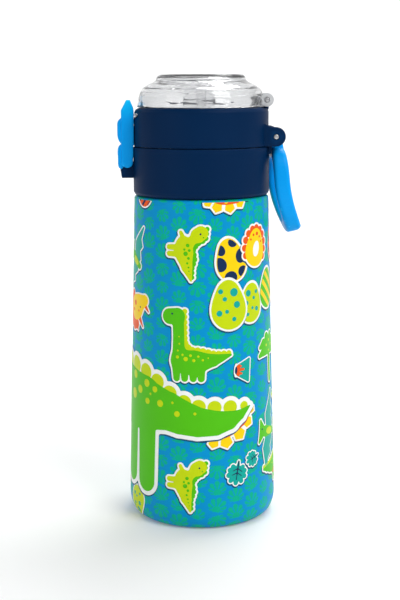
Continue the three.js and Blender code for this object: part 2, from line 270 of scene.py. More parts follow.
def thread_rib(name, root, crest, low):
    """A right-handed rib that fades in and out at its ends."""
    steps = round(FACETS / 2 * THREAD["turns"])
    section = [(0, -0.8), (0.25, -0.75), (1, -0.3), (1, 0.3), (0.25, 0.75), (0, 0.8)]
    corners, faces = [], []
    for i in range(steps + 1):
        along = i / steps
        fade = min(1, 12 * along, 12 * (1 - along))
        angle = along * THREAD["turns"] * math.tau
        for out, up in section:
            radius = root + (crest - root) * out * fade
            z = low + THREAD["pitch"] * THREAD["turns"] * along + up
            corners.append((radius * math.cos(angle), radius * math.sin(angle), z))
    count = len(section)
    for i in range(steps):
        faces += [(
            i * count + k, i * count + (k + 1) % count, (i + 1) * count + (k + 1) % count,
            (i + 1) * count + k) for k in range(count)]
    faces += [tuple(range(count)), tuple(range(steps * count, (steps + 1) * count))]
    made = new_object(name, corners, faces)
    facing_out(made)
    return smooth_shaded(made)


def wall_radius(z):
    """The outside of the body at a height: a straight taper above the round edge of the foot."""
    taper = np.interp(z, [FOOT["edge"], BODY["top"]], [BODY["radius"], BODY["top_radius"]])
    drop = np.clip((FOOT["edge"] - z) / (FOOT["edge"] - FOOT["low"]), 0, 1)
    return taper - FOOT["inset"] * (1 - np.sqrt(1 - drop**2))


def calc(tree, operation, *values, clamp=False):
    """The output of a Math node. Each value is a number or another node's output."""
    made = node(tree, "ShaderNodeMath", operation=operation, use_clamp=clamp)
    for socket, value in zip(made.inputs, values):
        if isinstance(value, (int, float)):
            socket.default_value = value
        else:
            tree.links.new(value, socket)
    return made.outputs[0]


def new_group(name, inputs, outputs):
    """A node group with number sockets, and the sockets of its two ends."""
    group = bpy.data.node_groups.new(name, "ShaderNodeTree")
    for key, value in inputs.items():
        made = group.interface.new_socket(key, in_out="INPUT", socket_type="NodeSocketFloat")
        made.default_value = value
    for key in outputs:
        group.interface.new_socket(key, in_out="OUTPUT", socket_type="NodeSocketFloat")
    return group, node(group, "NodeGroupInput").outputs, node(group, "NodeGroupOutput").inputs


def grain_group():
    """Fine grain: a roughness and a height that change with a small noise, over a larger, fainter one."""
    group, given, result = new_group(
        "fine_grain", {"Scale": 1500, "Roughness": 0.4, "Spread": 0.06, "Patch Scale": 60},
        ("Roughness", "Height", "Patch"))
    place = node(group, "ShaderNodeTexCoord")
    fine = node(group, "ShaderNodeTexNoise", {"Detail": 4, "Roughness": 0.6})
    patch = node(group, "ShaderNodeTexNoise", {"Detail": 2})
    for noise, scale in ((fine, "Scale"), (patch, "Patch Scale")):
        group.links.new(place.outputs["Object"], noise.inputs["Vector"])
        group.links.new(given[scale], noise.inputs["Scale"])
    centred = calc(group, "SUBTRACT", patch.outputs["Fac"], 0.5)
    spread = calc(group, "MULTIPLY_ADD", centred, given["Spread"], given["Roughness"])
    group.links.new(spread, result["Roughness"])
    group.links.new(fine.outputs["Fac"], result["Height"])
    group.links.new(patch.outputs["Fac"], result["Patch"])
    return group


FINE_GRAIN = grain_group()


def grained(tree, shader, scale, roughness, spread, depth, strength=0.3, patch_scale=60):
    """Places the fine grain in a material, as its roughness and as a bump of a depth in millimetres."""
    grain = node(tree, "ShaderNodeGroup", node_tree=FINE_GRAIN)
    values = {"Scale": scale, "Roughness": roughness, "Spread": spread, "Patch Scale": patch_scale}
    for key, value in values.items():
        grain.inputs[key].default_value = value
    tree.links.new(grain.outputs["Roughness"], shader.inputs["Roughness"])
    bumped(tree, shader, grain.outputs["Height"], strength, depth)
    return grain


def mixed_color(tree, factor, first, second):
    """The output of a node that goes from one colour to another. Either may be another node's output."""
    mix = node(tree, "ShaderNodeMix", data_type="RGBA")
    tree.links.new(factor, mix.inputs["Factor"])
    for key, color in (("A", first), ("B", second)):
        socket = next(s for s in mix.inputs if s.name == key and s.type == "RGBA")
        if isinstance(color, tuple):
            socket.default_value = (*color, 1)
        else:
            tree.links.new(color, socket)
    return next(s for s in mix.outputs if s.type == "RGBA")


def leaf_group():
    """Staggered columns of small leaves with spread fingers, round the axis. Its sizes are in millimetres."""
    group, given, result = new_group(
        "leaf_print", {"Columns": 24, "Row": 8.7, "Reach": 4.1, "Finger": 0.6, "Gap": 0.25}, ("Mask",))

    def m(operation, *values, **settings):
        return calc(group, operation, *values, **settings)

    place = node(group, "ShaderNodeTexCoord")
    split = node(group, "ShaderNodeSeparateXYZ")
    group.links.new(place.outputs["Object"], split.inputs[0])
    x, y, z = (m("MULTIPLY", axis, 1000) for axis in split.outputs)
    columns = m(
        "MULTIPLY", m("ADD", m("DIVIDE", m("ARCTAN2", x, m("MULTIPLY", y, -1)), math.tau), 1),
        given["Columns"])
    column = m("FLOOR", columns)
    rows = m("ADD", m("DIVIDE", z, given["Row"]), m("MULTIPLY", m("MODULO", column, 2), 0.5))
    row = m("FLOOR", rows)
    width = m("DIVIDE", math.tau * BODY["top_radius"], given["Columns"])
    across = m("MULTIPLY", m("SUBTRACT", m("FRACT", columns), 0.5), width)
    up = m("MULTIPLY", m("SUBTRACT", m("FRACT", rows), 0.5), given["Row"])
    cell = node(group, "ShaderNodeCombineXYZ")
    group.links.new(m("MODULO", column, given["Columns"]), cell.inputs[0])
    group.links.new(row, cell.inputs[1])
    chance = node(group, "ShaderNodeTexWhiteNoise", noise_dimensions="2D")
    group.links.new(cell.outputs[0], chance.inputs["Vector"])
    chances = node(group, "ShaderNodeSeparateColor")
    group.links.new(chance.outputs["Color"], chances.inputs[0])
    half_turn = m("MULTIPLY", m("GREATER_THAN", chances.outputs[1], 0.6), math.pi)
    turn = m("MULTIPLY_ADD", m("SUBTRACT", chances.outputs[0], 0.5), 0.8, half_turn)
    reach = m("MULTIPLY", given["Reach"], m("MULTIPLY_ADD", chances.outputs[2], 0.3, 0.85))
    cosine, sine = m("COSINE", turn), m("SINE", turn)
    side = m("ADD", m("MULTIPLY", across, cosine), m("MULTIPLY", up, sine))
    ahead = m("SUBTRACT", m("MULTIPLY", up, cosine), m("MULTIPLY", across, sine))
    ahead = m("MULTIPLY_ADD", reach, 0.45, ahead)
    away = m("SQRT", m("ADD", m("MULTIPLY", side, side), m("MULTIPLY", ahead, ahead)))
    bearing = m("ARCTAN2", side, ahead)
    from_middle = m(
        "ABSOLUTE", m("SUBTRACT", m("FRACT", m("ADD", m("DIVIDE", bearing, given["Finger"]), 0.5)), 0.5))
    to_gap = m("MULTIPLY", m("MULTIPLY", away, m("SUBTRACT", 0.5, from_middle)), given["Finger"])
    tip = m("MULTIPLY", reach, m("MULTIPLY_ADD", m("COSINE", bearing), 0.55, 0.85))
    tip = m("MULTIPLY", tip, m("MULTIPLY_ADD", m("MULTIPLY", from_middle, from_middle), -1.0, 1))
    palm = m("SUBTRACT", m("MULTIPLY", reach, 0.42), away)
    finger = m("MAXIMUM", m("SUBTRACT", to_gap, given["Gap"]), palm)
    field = m("MINIMUM", m("SUBTRACT", tip, away), finger)
    group.links.new(m("MULTIPLY_ADD", field, 2.6, 0.45, clamp=True), result["Mask"])
    return group


def powder_coat():
    """Satin blue powder coat with the leaf pattern and the fine orange peel of a baked coat."""
    made, tree, shader = new_material("powder_coat", (0.0, 0.24, 0.56), 0.42, Specular_IOR_Level=0.08)
    grain = grained(tree, shader, 900, 0.42, 0.1, 0.03, 0.12, 35)
    leaves = node(tree, "ShaderNodeGroup", node_tree=leaf_group())
    blue = mixed_color(tree, grain.outputs["Patch"], (0.0, 0.26, 0.56), (0.0, 0.305, 0.66))
    green = mixed_color(tree, grain.outputs["Patch"], (0.0, 0.41, 0.25), (0.001, 0.46, 0.28))
    both = mixed_color(tree, leaves.outputs["Mask"], blue, green)
    tree.links.new(both, shader.inputs["Base Color"])
    return made


def body_shell():
    """The whole shell from its foot to its mouth."""
    spin = np.linspace(0, math.pi / 2, 20)
    foot = [(FOOT["edge"] - (FOOT["edge"] - FOOT["low"]) * math.cos(a)) for a in spin[:-1]]
    wall = [*foot, *np.linspace(FOOT["edge"], BODY["top"], 60)]
    outside = [(float(wall_radius(np.float64(z))), z) for z in wall]
    outside += [
        (33.45, 163.3), (33.1, 163.65), (32.5, 163.9), (30, 164.15),
        (NECK["radius"] + 0.4, NECK["low"] - 0.2)]
    inside = [(r - WALL, max(z, FOOT["low"] + WALL)) for r, z in outside[2:-5:6]]
    profile = [
        (FOOT["hole"], FOOT["low"]), *outside, (NECK["radius"], NECK["low"] + 0.5),
        (NECK["radius"], NECK["top"] - 0.2), (NECK["radius"] - 0.2, NECK["top"]),
        (NECK["radius"] - WALL, NECK["top"]), (NECK["radius"] - WALL, NECK["low"] - 0.4), (31, 163.1),
        *inside[::-1], (FOOT["hole"], FOOT["low"] + WALL)]
    shell = turned("bottle_body", profile, ease=0, facets=288, material=powder_coat())
    rib = thread_rib("rib", NECK["radius"] - 0.3, NECK["radius"] + THREAD["depth"], THREAD["low"])
    combined(shell, [rib], "UNION")
    return smooth_shaded(shell)


body = body_shell()
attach(body, "flask")
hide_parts("outer_shell")


# --- Printed figures ----------------------------------------------------------------------------------------
# Screen-printed inks on the coat: plump dinosaurs, eggs, leaves and a volcano, each with a white rim and a
# thin shade under it. Each ink is one layer, a few hundredths of a millimetre thick, cured on the shell.
INKS = {
    "shade": (0.0, 0.075, 0.17),
    "white": (0.93, 0.95, 0.93),
    "green": (0.085, 0.545, 0.002),
    "lime": (0.58, 0.72, 0.0),
    "yellow": (1.0, 0.68, 0.0),
    "orange": (0.90, 0.105, 0.006),
    "navy": (0.004, 0.024, 0.09),
    "teal": (0.0, 0.40, 0.33),
}
INK_CELL = 0.4
INK_STEP = 0.022
PRINT_TOP = 163
PRINT_FOOT = 1.6


def oval(x, y, cx, cy, rx, ry, turn=0):
    """Distance to an ellipse, near enough for ink."""
    c, s = math.cos(math.radians(turn)), math.sin(math.radians(turn))
    u, v = (x - cx) * c + (y - cy) * s, (y - cy) * c - (x - cx) * s
    return (np.hypot(u / rx, v / ry) - 1) * min(rx, ry)


def dots(x, y, places):
    """Distance to round spots (x, y, radius)."""
    return np.minimum.reduce([np.hypot(x - a, y - b) - r for a, b, r in places])


def limb(x, y, joints):
    """Distance to a chain of round joints (x, y, radius) with straight sides between them."""
    best = np.inf
    for (ax, ay, ar), (bx, by, br) in zip(joints, joints[1:]):
        length = (bx - ax) ** 2 + (by - ay) ** 2
        t = np.clip(((x - ax) * (bx - ax) + (y - ay) * (by - ay)) / length, 0, 1)
        gap = np.hypot(x - ax - t * (bx - ax), y - ay - t * (by - ay)) - (ar + t * (br - ar))
        best = np.minimum(best, gap)
    return best


def fingers(x, y, reach, width, count, sweep):
    """Distance to a leaf with round fingers that spread from its stalk."""
    best = limb(x, y, [(0, -0.9 * reach, 0.3 * width), (0, 0, width)])
    for angle in np.radians(np.linspace(-sweep, sweep, count)):
        tip = reach * (0.78 + 0.22 * math.cos(angle))
        best = np.minimum(best, limb(x, y, [
            (0, 0, width), (tip * math.sin(angle), tip * math.cos(angle), 0.8 * width)]))
    return best


def outlined(u, v, points):
    """Distance to a closed outline, below zero inside."""
    best, inside = np.inf, False
    for (ax, ay), (bx, by) in zip(points, points[1:] + points[:1]):
        ex, ey = bx - ax, by - ay
        t = np.clip(((u - ax) * ex + (v - ay) * ey) / max(ex * ex + ey * ey, 1e-9), 0, 1)
        best = np.minimum(best, np.hypot(u - ax - t * ex, v - ay - t * ey))
        if ay != by:
            inside = inside ^ (((ay > v) != (by > v)) & (u < ex * (v - ay) / (by - ay) + ax))
    return np.where(inside, -best, best)


def blended(first, second, reach):
    """The union of two distances, filleted over a reach."""
    h = np.clip(0.5 + 0.5 * (second - first) / reach, 0, 1)
    return second * (1 - h) + first * h - reach * h * (1 - h)


def joined(*parts):
    return np.minimum.reduce(parts)


def along_back(points, count, radius):
    """Round spots at even places along a bent line."""
    line = np.array(points, float)
    run = np.concatenate([[0], np.cumsum(np.hypot(*np.diff(line, axis=0).T))])
    places = np.linspace(0, run[-1], count)
    sizes = radius * (0.72 + 0.28 * np.sin(np.linspace(0.25, math.pi - 0.35, count)))
    return list(zip(np.interp(places, run, line[:, 0]), np.interp(places, run, line[:, 1]), sizes))


# A figure is a function of x and y in millimetres. It gives its layers from the lowest ink to the highest.
def long_neck(x, y):
    trunk = blended(oval(x, y, 0, 0, 8.4, 5.8), limb(x, y, [(-5, 1, 3.2), (-5, 12, 2.9), (-5.2, 21, 2.9)]), 3)
    trunk = blended(trunk, limb(x, y, [(4, 0.2, 5), (12, 1, 3.2), (21, 3.2, 0.6)]), 3)
    head = blended(trunk, limb(x, y, [(-5.6, 22.8, 3.8), (-9.8, 22.2, 3.9)]), 1.4)
    legs = joined(*(limb(x, y, [(a, -2, 2.2), (a + 0.2, -8, 1.7)]) for a in (-6.2, -2.1, 2.1, 6)))
    back = along_back([(-1.9, 25), (-2, 10), (0.6, 6.2), (6, 5.8), (13, 4.2), (20, 4.2)], 16, 1.7)
    spots = [
        (-4.6, 9, 0.5), (-5.4, 5.6, 0.5), (-5.6, 2.4, 0.8), (-3, 3.6, 0.6), (-1.4, 1.6, 1.1), (1, 3.4, 0.7),
        (2.6, 1, 0.8), (4.8, 3, 0.6), (7, 1.2, 0.6), (-4.8, 12.5, 0.4), (9.6, 2.2, 0.4)]
    return [("lime", dots(x, y, back)), ("green", blended(head, legs, 0.8)), ("lime", dots(x, y, spots)),
            ("navy", dots(x, y, [(-8.4, 23.6, 0.5)]))]


def big_long_neck(x, y):
    """The largest figure. Its tail curls round the front of the bottle and its head looks out at the back."""
    trunk = limb(x, y, [(-74, 4, 16), (-52, 2, 15.9), (-35, 1.6, 13.9), (-20, -0.4, 10), (-13.6, -2.6, 9),
                        (-4.6, -5, 7.5), (4, -5.7, 6.3), (11, -4.8, 4.8), (17, -2.6, 2.7), (23, 1, 0.4)])
    neck = limb(x, y, [(-78, 7, 13), (-90, 25, 9), (-92, 48, 7.2)])
    head = limb(x, y, [(-92, 51, 8.4), (-101, 48.6, 7.4)])
    legs = joined(*(limb(x, y, [(a, -4, 6.6), (a, -38 - drop, 5.9)])
                    for a, drop in ((-33.6, 0.3), (-48, -1.5), (-66, 0), (-80.5, -2.4))))
    trunk = blended(blended(blended(trunk, neck, 8), head, 3), legs, 1.2)
    back = [
        (19.4, 1.6, 2.3), (11.6, 1.7, 3.6), (3.6, 2.1, 3.5), (-4.2, 2.8, 3.5), (-11.4, 4.8, 3.6),
        (-19, 8.6, 3.9), (-26.4, 13.4, 4.1), (-34.6, 17.2, 4.3), (-44, 19.2, 4.6), (-54, 19.6, 4.7)]
    back += along_back([(-64, 20.4), (-74, 25), (-81, 36), (-84, 46), (-86, 57)], 6, 4.6)
    spots = [
        (-24.4, 2.8, 1.8), (-15, -1.4, 1.5), (-6, -0.8, 0.8), (-17.4, 4, 0.7), (-33, 2.6, 1.6),
        (-27.8, 9.4, 1.6), (-33.6, 11.6, 2), (-30.8, 6.6, 0.7), (-39.4, 7.4, 2.1), (-46, 4, 2.7),
        (-45, 14, 2.2), (-56, 10, 2), (-62, 3, 1.6), (-68, 9, 1.8), (-80, 14, 1.3), (-88, 28, 1.8),
        (-90, 38, 1.5)]
    return [("lime", dots(x, y, back)), ("green", trunk), ("lime", dots(x, y, spots)),
            ("navy", dots(x, y, [(-97, 52, 1.3)]))]


def little_one(x, y):
    trunk = blended(oval(x, y, 0, 0, 6.2, 4.4), limb(x, y, [(3, 0.4, 4), (9, 1.6, 2.7), (15.4, 3.6, 0.5)]), 2)
    head = blended(trunk, limb(x, y, [(-2.6, 3, 2.2), (-5.4, 5.6, 2.2)]), 1.2)
    head = blended(head, limb(x, y, [(-6.4, 7, 3.6), (-7.4, 8.4, 3.5)]), 0.8)
    legs = joined(*(limb(x, y, [(a, -2.4, 1.5), (a, -7.4, 1.3)]) for a in (-0.6, 2.6)))
    arm = limb(x, y, [(-4.6, 0, 1.3), (-7.8, -1.4, 0.9)])
    back = along_back([
        (-9.4, 11.4), (-4.4, 10.6), (-2.4, 6.4), (0.6, 4.6), (5.4, 5.2), (9.4, 4), (13.8, 4)], 13, 1.5)
    spots = [
        (-1.6, 2, 0.9), (0.8, 2.8, 0.7), (2.4, 1, 1.1), (4.6, 2.4, 0.7), (0.4, 0.4, 0.6), (7, 1.8, 0.6),
        (9, 2.4, 0.5), (10.8, 2.6, 0.4), (-5.4, 9.6, 0.4), (12.4, 3.2, 0.3)]
    return [
        ("green", dots(x, y, back)), ("lime", joined(blended(head, legs, 0.6), arm)),
        ("green", dots(x, y, spots)), ("navy", dots(x, y, [(-7, 8.2, 0.5)]))]


def plated(x, y, foot=-9.6, tail=23):
    trunk = blended(oval(x, y, 0, 0, 12.5, 7), limb(
        x, y, [(8, 0.4, 5), (0.7 * tail, -2, 2.6), (tail, -1.6, 0.8)]), 3)
    trunk = blended(trunk, limb(x, y, [(-10, -1, 3.8), (-15.5, -2.2, 3.2)]), 2)
    legs = joined(*(limb(x, y, [(a, -4, 2.4), (a, foot, 2)]) for a in (-7, -2, 3, 7.6)))
    plates = np.inf
    for cx, cy, size, turn in (
            (-12.6, 5.4, 2.9, 44), (-6.2, 8.6, 3.6, 18), (2.6, 9, 3.7, -8), (10.4, 6.4, 3.2, -32),
            (16, 2, 2.2, -34)):
        c, s = math.cos(math.radians(turn)), math.sin(math.radians(turn))
        u, v = (x - cx) * c + (y - cy) * s, (y - cy) * c - (x - cx) * s
        plates = np.minimum(plates, outlined(u, v, [
            (-0.62 * size, -1.2 * size), (0.62 * size, -1.2 * size), (size, 0.3 * size), (0, size),
            (-size, 0.3 * size)]))
    patches = dots(x, y, [
        (-8.6, 2.6, 1.3), (-4.6, 4, 1.5), (0, 4.6, 1.7), (4.6, 3.8, 1.5), (8.8, 2, 1.2), (-1, 1, 0.8),
        (12.6, 0.2, 0.9)])
    return [("yellow", plates), ("orange", blended(trunk, legs, 1)), ("yellow", patches),
            ("navy", dots(x, y, [(-16, -1.2, 0.5)]))]


def lying_plated(x, y):
    """The plated figure with short legs and a short tail, mostly hidden by the largest one."""
    return plated(x, y, -5, 14)


def horned(x, y):
    head = blended(oval(x, y, 2, 0, 7.6, 6.8), limb(x, y, [(-3, -2, 4.6), (-8, -3, 3)]), 2)
    frill = joined(*(
        oval(x, y, 5 + 6.5 * math.cos(a), 1 + 8 * math.sin(a), 3, 3) for a in np.linspace(-1.3, 1.9, 7)))
    horns = joined(limb(x, y, [(-1, 5, 1.7), (-4, 10.6, 0.4)]), limb(x, y, [(2.6, 6, 1.7), (1.4, 12, 0.4)]),
                   limb(x, y, [(-8, -0.6, 1.3), (-10.4, 3, 0.4)]))
    return [
        ("orange", joined(frill, horns)), ("yellow", head),
        ("orange", dots(x, y, [(3, -2.4, 1.5), (6, 1, 1), (-1, 2, 0.7)])),
        ("navy", dots(x, y, [(-3.2, 0.2, 0.55)]))]


def winged(x, y):
    wings = outlined(x, y, [
        (0, 3), (8, 5), (19, 0.6), (12.6, 0.2), (10, -2.6), (7, -1.4), (3.2, -4), (0, -2.6), (-3.2, -4),
        (-7, -1.4), (-10, -2.6), (-12.6, 0.2), (-19, 0.6), (-8, 5)]) - 0.5
    trunk = joined(limb(x, y, [(0, -5, 1.6), (0, 4, 2.8)]), limb(x, y, [(0, 7, 2.8), (5, 9.4, 0.6)]),
                   limb(x, y, [(0, 7, 2.6), (-5, 9, 0.7)]))
    return [
        ("teal", wings), ("green", trunk), ("lime", oval(x, y, 0, 0, 1.7, 3.4)),
        ("navy", dots(x, y, [(1, 7.6, 0.5)]))]


def volcano(x, y):
    hill = outlined(x, y, [(-7.4, -5), (7.4, -5), (3, 4), (1.6, 5), (-1.6, 5), (-3, 4)]) - 0.8
    lava = np.maximum(hill + 0.2, np.minimum(2.4 - y, joined(
        limb(x, y, [(-2, 3, 1), (-2.2, 0.8, 0.7)]), limb(x, y, [(0.4, 3, 1), (0.6, -0.6, 0.8)]),
        limb(x, y, [(2.6, 3, 0.9), (2.8, 1.4, 0.6)]))))
    return [("teal", hill), ("orange", lava), ("navy", oval(x, y, 0, 5.2, 2.6, 0.9))]


def jungle_leaf(x, y):
    blade = fingers(x, y, 6, 1.7, 9, 130)
    veins = joined(limb(x, y, [(0, -5.6, 0.4), (0, 4.6, 0.24)]),
                   *(limb(x, y, [(0, a, 0.3), (s * 3, a + 1.6, 0.2)]) for a in (-1.6, 0.6) for s in (-1, 1)))
    return [("teal", blade), ("navy", veins)]


def palm(x, y):
    crown = joined(*(
        limb(x, y, [
            (0, 4, 2.6), (6.6 * math.sin(a), 5 + 5.4 * math.cos(a), 2.3),
            (10.2 * math.sin(a), 3.4 + 5.4 * math.cos(a), 1)])
        for a in np.radians([-108, -64, -22, 22, 64, 108])))
    trunk = limb(x, y, [(0.8, -11, 1.6), (0.2, -4, 1.2), (0, 4, 1.3)])
    return [("green", joined(crown, trunk)), ("lime", dots(
        x, y, [(-3, 6, 0.7), (0.4, 8, 0.8), (3.4, 5.4, 0.7), (0, 3, 0.6)]))]


def egg(x, y):
    """Egg shape of radius 8 at its foot, narrower above."""
    return blended(oval(x, y, 0, -1, 8, 8.2), oval(x, y, 0, 4, 6, 8), 3)


def spotted_egg(x, y):
    return [("lime", egg(x, y)), ("teal", dots(x, y, [
        (-2.6, 6.4, 1.8), (1.8, 4, 1), (3.4, 7.4, 1.1), (-3.6, 1, 1.5), (1.2, -1.4, 0.9), (4.6, -1.8, 1.3),
        (-1.8, -5, 1)]))]


def patched_egg(x, y):
    shell = egg(x, y)
    patches = joined(
        oval(x, y, -4.4, 7.4, 2.4, 3, 30), oval(x, y, 3, 9.4, 2.6, 2.4), oval(x, y, -6, 0.6, 3.2, 3.6, 20),
        oval(x, y, 5.6, 1.8, 2.8, 3.6, -20), oval(x, y, -2.2, -7, 3.4, 3.2), oval(x, y, 5, -6, 2.8, 2.8))
    return [("yellow", shell), ("navy", np.maximum(patches, shell + 0.4))]


def crested_egg(x, y):
    shell = egg(x, y)
    crest = dots(x, y, [
        (8.6 * math.sin(a), 1.8 + 10.4 * math.cos(a), 2) for a in np.radians(np.arange(-120, 121, 24))])
    freckles = dots(x, y, [(-2.4, 8.2, 0.8), (0.6, 9, 1.1), (3, 7.4, 0.7), (-4.4, 5.6, 0.7), (4.6, 4.8, 0.6)])
    return [
        ("orange", crest), ("yellow", shell), ("orange", freckles),
        ("white", oval(x, y, 0.4, 0.6, 2.6, 4.4, -8))]


def striped_egg(x, y):
    shell = egg(x, y)
    stripes = np.abs((y + 0.8 * x + 2.6) % 6.4 - 3.2) - 1.5
    return [("green", shell), ("yellow", np.maximum(stripes, shell + 0.4))]


def dark_egg(x, y):
    shell = egg(x, y)
    stripes = np.abs((y - 0.5 * x + 2) % 5.4 - 2.7) - 1.1
    return [("orange", shell), ("navy", np.maximum(stripes, shell + 0.3))]


ink_meshes = {ink: ([], []) for ink in INKS}
CELL_OUTLINES = {
    1: "a p s", 2: "b q p", 3: "a b q s", 4: "c r q", 5: "a p q c r s", 6: "b c r p", 7: "a b c r s",
    8: "d s r", 9: "a p r d", 10: "b q r d s p", 11: "a b q r d", 12: "c d s q", 13: "a p q c d",
    14: "b c d s p", 15: "a b c d"}


def filled(field, xs, ys):
    """Corners and faces of the region of a grid where a field is below zero, cut true at its edge."""
    inside = field < 0
    wide, high = field.shape
    count = wide * high
    case = (inside[:-1, :-1] * 1 + inside[1:, :-1] * 2 + inside[1:, 1:] * 4 + inside[:-1, 1:] * 8)
    number = np.arange(count).reshape(wide, high)
    faces = []
    for kind, outline in CELL_OUTLINES.items():
        i, j = np.nonzero(case == kind)
        if not len(i):
            continue
        here = {
            "a": number[i, j], "b": number[i + 1, j], "c": number[i + 1, j + 1], "d": number[i, j + 1],
            "p": count + number[i, j], "r": count + number[i, j + 1],
            "s": 2 * count + number[i, j], "q": 2 * count + number[i + 1, j],
        }
        faces += np.stack([here[key] for key in outline.split()], 1).tolist()
    gx, gy = (grid.ravel() for grid in np.meshgrid(xs, ys, indexing="ij"))
    with np.errstate(divide="ignore", invalid="ignore"):
        over = field[:-1] / (field[:-1] - field[1:])
        up = field[:, :-1] / (field[:, :-1] - field[:, 1:])
    over = np.nan_to_num(np.vstack([over, over[-1:]])).ravel().clip(0, 1)
    up = np.nan_to_num(np.hstack([up, up[:, -1:]])).ravel().clip(0, 1)
    step = xs[1] - xs[0]
    places = np.concatenate([
        np.stack([gx, gy], 1), np.stack([gx + over * step, gy], 1), np.stack([gx, gy + up * step], 1)])
    used, flat = np.unique(
        np.concatenate([np.array(f) for f in faces]), return_inverse=True) if faces else ([], [])
    cut = np.cumsum([len(f) for f in faces])[:-1]
    return places[used] if faces else [], [part.tolist() for part in np.split(flat, cut)] if faces else []


def stamp(figure, angle, height, scale=1.0, turn=0, flip=False, rim=0.85, lift=0):
    """Prints a figure round a place on the wall: an angle from the front towards +X, and a height."""
    radius = float(wall_radius(np.float64(height)))
    c, s = math.cos(math.radians(turn)), math.sin(math.radians(turn))

    def layers(across, up):
        x, y = (across * c + up * s) / scale, (up * c - across * s) / scale
        return [(ink, gap * scale) for ink, gap in figure(-x if flip else x, y)]

    reach = 115 if figure is big_long_neck else 30 * scale
    coarse = np.arange(-reach, reach, 2.0)
    whole = joined(*(gap for _, gap in layers(coarse[:, None], coarse[None, :])))
    held = np.argwhere(whole < rim + 4)
    (x0, y0), (x1, y1) = coarse[held.min(0)] - 2, coarse[held.max(0)] + 4
    cell = INK_CELL * (1.4 if figure is big_long_neck else 1)
    xs, ys = np.arange(x0, x1, cell), np.arange(y0, y1, cell)
    across, up = xs[:, None], ys[None, :]
    drawn = layers(across, up)
    shape = joined(*(gap for _, gap in drawn))
    shadow = joined(*(gap for _, gap in layers(across + 0.25, up + 0.5)))
    inner = shape + 0.6
    printed = [
        ("shade", np.maximum(shadow - rim - 0.25, -inner)), ("white", np.maximum(shape - rim, -inner)),
        *drawn]
    edge = np.maximum(height + up - PRINT_TOP, PRINT_FOOT - height - up) + 0 * across
    for level, (ink, gap) in enumerate(printed):
        places, faces = filled(np.maximum(gap, edge), xs, ys)
        if not faces:
            continue
        z = height + places[:, 1]
        around = math.radians(angle) + places[:, 0] / radius
        out = wall_radius(z) + INK_STEP * (level + 2) + lift
        corners, polygons = ink_meshes[ink]
        first = sum(len(block) for block in corners)
        corners.append(np.stack([out * np.sin(around), -out * np.cos(around), z], 1))
        polygons += [[first + k for k in face] for face in faces]


STAMPS = [
    # The printed face, from the shoulder down
    (plated, 16.5, 166.8, 0.72, 180, True, 0.85, 0),
    (little_one, -18.5, 141, 1.0, -90, False, 0.85, 0),
    (winged, -74, 132.4, 1.0, 62, False, 0.75, 0),
    (horned, -69, 109.4, 0.95, 190, False, 0.8, 0),
    (patched_egg, 21, 133.9, 1.0, 14, False, 0.95, 0),
    (crested_egg, 46, 138.9, 0.88, -6, False, 0.9, 0.05),
    (spotted_egg, 39.5, 112, 0.92, -6, False, 0.95, 0.05),
    (spotted_egg, 18.5, 111.9, 1.15, 4, True, 0.95, 0.12),
    (striped_egg, 64, 117.4, 0.95, -4, False, 0.9, 0.05),
    (dark_egg, 84, 139.4, 0.95, 0, False, 0.85, 0),
    (dark_egg, 88, 116.4, 0.9, 20, False, 0.85, 0.05),
    (long_neck, -14.5, 85.6, 1.0, 0, False, 0.8, 0),
    (volcano, 30, 80.4, 0.74, 86, False, 0.55, 0),
    (palm, 66, 83.4, 1.05, 0, False, 0.7, 0),
    (lying_plated, 17, 54.6, 0.9, 208, True, 0.8, 0),
    (big_long_neck, 0, 60.9, 1.0, 0, False, 2.1, 0.16),
    (little_one, -18.7, 25.6, 1.0, -90, False, 0.85, 0),
    (jungle_leaf, 24, 29.4, 0.95, 170, False, 0.6, 0),
    (jungle_leaf, 39.5, 34.6, 0.66, 110, False, 0.55, 0.05),
    (winged, 64, 45, 1.1, 80, False, 0.7, 0),
    (long_neck, 82, 26, 0.9, 8, True, 0.8, 0),
    (spotted_egg, -66, 10, 0.8, 160, False, 0.7, 0),
    # The sides and the back
    (dark_egg, -60, 166.4, 0.72, 20, False, 0.7, 0),
    (palm, -100, 158.4, 0.75, 176, False, 0.6, 0),
    (little_one, 104, 156.4, 0.9, 6, True, 0.8, 0),
    (horned, 107, 133.4, 0.95, 0, True, 0.85, 0),
    (long_neck, 122, 90.4, 1.05, 0, True, 0.85, 0),
    (plated, 150, 134.4, 1.05, 0, False, 0.85, 0),
    (volcano, 131, 158.4, 0.8, 0, False, 0.6, 0),
    (palm, 172, 154.4, 0.8, 0, False, 0.7, 0),
    (crested_egg, 160, 101.4, 0.9, 12, False, 0.85, 0),
    (winged, -160, 142.4, 0.95, -12, False, 0.75, 0),
    (patched_egg, -108, 130.4, 0.85, -14, False, 0.85, 0),
    (jungle_leaf, -132, 152.4, 0.9, 30, False, 0.6, 0),
    (striped_egg, -178, 120.4, 0.75, -10, False, 0.8, 0),
    (little_one, 100, 58.4, 1.05, 0, True, 0.85, 0),
    (horned, 133, 54.4, 0.9, -8, False, 0.85, 0),
    (volcano, 165, 68.4, 0.95, 0, False, 0.65, 0),
    (jungle_leaf, 90, 86.4, 0.7, -30, False, 0.55, 0),
    (plated, 105, 23.4, 0.95, 0, True, 0.85, 0),
    (spotted_egg, 143, 24.4, 0.8, -10, False, 0.85, 0),
    (palm, 172, 32.4, 0.9, 0, False, 0.7, 0),
    (jungle_leaf, -165, 20.4, 0.9, 0, False, 0.6, 0),
    (crested_egg, -100, 15.4, 0.55, -80, False, 0.7, 0),
]
for placed in STAMPS:
    stamp(*placed)


